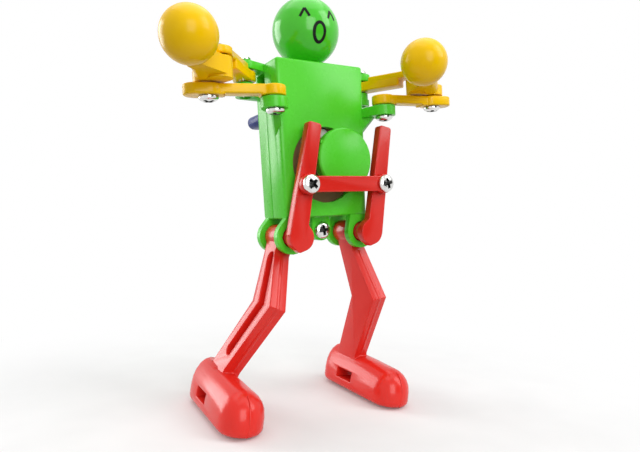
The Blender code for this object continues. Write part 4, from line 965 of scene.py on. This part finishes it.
world = bpy.data.worlds.new("white room")
bpy.context.scene.world = world
world.use_nodes = True
surround = world.node_tree.nodes["Background"]
surround.inputs["Color"].default_value = (1, 1, 1, 1)
level = world.node_tree.nodes.new("ShaderNodeMapRange")
level.inputs["To Min"].default_value = ROOM_LIGHT
level.inputs["To Max"].default_value = 1.0
world.node_tree.links.new(camera_light(world.node_tree), level.inputs["Value"])
world.node_tree.links.new(level.outputs["Result"], surround.inputs["Strength"])


def soft_box(name, place, wide, tall, watts):
    lamp = bpy.data.lights.new(name, "AREA")
    lamp.shape = "RECTANGLE"
    lamp.size = wide
    lamp.size_y = tall
    lamp.energy = watts
    item = bpy.data.objects.new(name, lamp)
    bpy.context.scene.collection.objects.link(item)
    item.location = place
    item.rotation_mode = "QUATERNION"
    item.rotation_quaternion = (AIM - Vector(place)).to_track_quat("-Z", "Y")
    item.visible_camera = False
    return item


boxes = [soft_box("front soft box", (-0.10, -0.42, 0.16), wide=0.22, tall=0.34, watts=0.95),
         soft_box("right soft box", (0.25, -0.25, 0.33), wide=0.20, tall=0.30, watts=0.78),
         soft_box("overhead soft box", (0.0, 0.02, 0.42), wide=0.40, tall=0.40, watts=0.60),
         soft_box("back soft box", (-0.30, 0.38, 0.14), wide=0.28, tall=0.36, watts=1.65)]
print("soft boxes:", [box.name for box in boxes])

# %% [markdown]
# ## A dark card for the screws
#
# Bright metal in an all-white room has nothing to show but white. A photographer hangs
# a dark card beside the camera, and so does this scene: only mirror rays see it, so it
# puts dark edges into the screws and takes no light away.

# %% Hang the dark card
card_mesh = bpy.data.meshes.new("dark card")
card_mesh.from_pydata([(-0.5, -0.5, 0), (0.5, -0.5, 0), (0.5, 0.5, 0), (-0.5, 0.5, 0)], [], [(0, 1, 2, 3)])
card = bpy.data.objects.new("dark card", card_mesh)
bpy.context.scene.collection.objects.link(card)
card.location = (0.10, -0.30, 0.05)
card.rotation_mode = "QUATERNION"
card.rotation_quaternion = (Vector((0, 0, 0.06)) - card.location).to_track_quat("Z", "Y")
card.scale = (0.16, 0.20, 1)
for ray in ("camera", "diffuse", "shadow", "transmission", "volume_scatter"):
    setattr(card, "visible_" + ray, False)
felt, tree, shader = shader_of("dark felt")
where = tree.nodes.new("ShaderNodeTexCoord").outputs["Object"]
weave = spread(tree, noise(tree, where, 80, 2.0), 0.01, 0.03)
tree.links.new(grey(tree, weave), shader.inputs["Base Color"])
shader.inputs["Roughness"].default_value = 1.0
shader.inputs["Specular IOR Level"].default_value = 0.0
card_mesh.materials.append(felt)
print("dark card in mm: %.0f x %.0f" % (card.scale.x / mm, card.scale.y / mm))

# %% [markdown]
# ## The camera
#
# The photograph was taken from close by, with the robot turned about thirty degrees.
# The turn, tilt and roll were found by matching corners, screws and joints of the CAD
# model to the photograph, so they are given in the robot's own axes.

# %% Place the camera
TURN, TILT, ROLL = 0.5537, 0.0428, -0.0482
SHIFT = Vector((2.035, -2.243, 118.57)) * mm
FOCAL_PIXELS = 495.55
PICTURE_PIXELS = 640
SENSOR = 36.0

look = Matrix(((1, 0, 0), (0, 0, -1), (0, 1, 0))) @ Matrix.Rotation(TURN, 3, "Z")
look = Matrix.Rotation(TILT, 3, "X") @ Matrix.Rotation(ROLL, 3, "Z") @ look
place = -(look.transposed() @ SHIFT)
camera_data = bpy.data.cameras.new("camera")
camera_data.sensor_width = SENSOR
camera_data.lens = FOCAL_PIXELS * SENSOR / PICTURE_PIXELS
camera_data.clip_start = 0.005
camera = bpy.data.objects.new("camera", camera_data)
bpy.context.scene.collection.objects.link(camera)
camera.matrix_world = robot @ axes(place, look[0], -look[1], -look[2])
bpy.context.scene.camera = camera
bpy.context.scene.view_settings.view_transform = "Standard"
spot = [round(x / mm, 1) for x in camera.matrix_world.translation]
print("camera at mm", spot, "lens %.1f" % camera_data.lens)
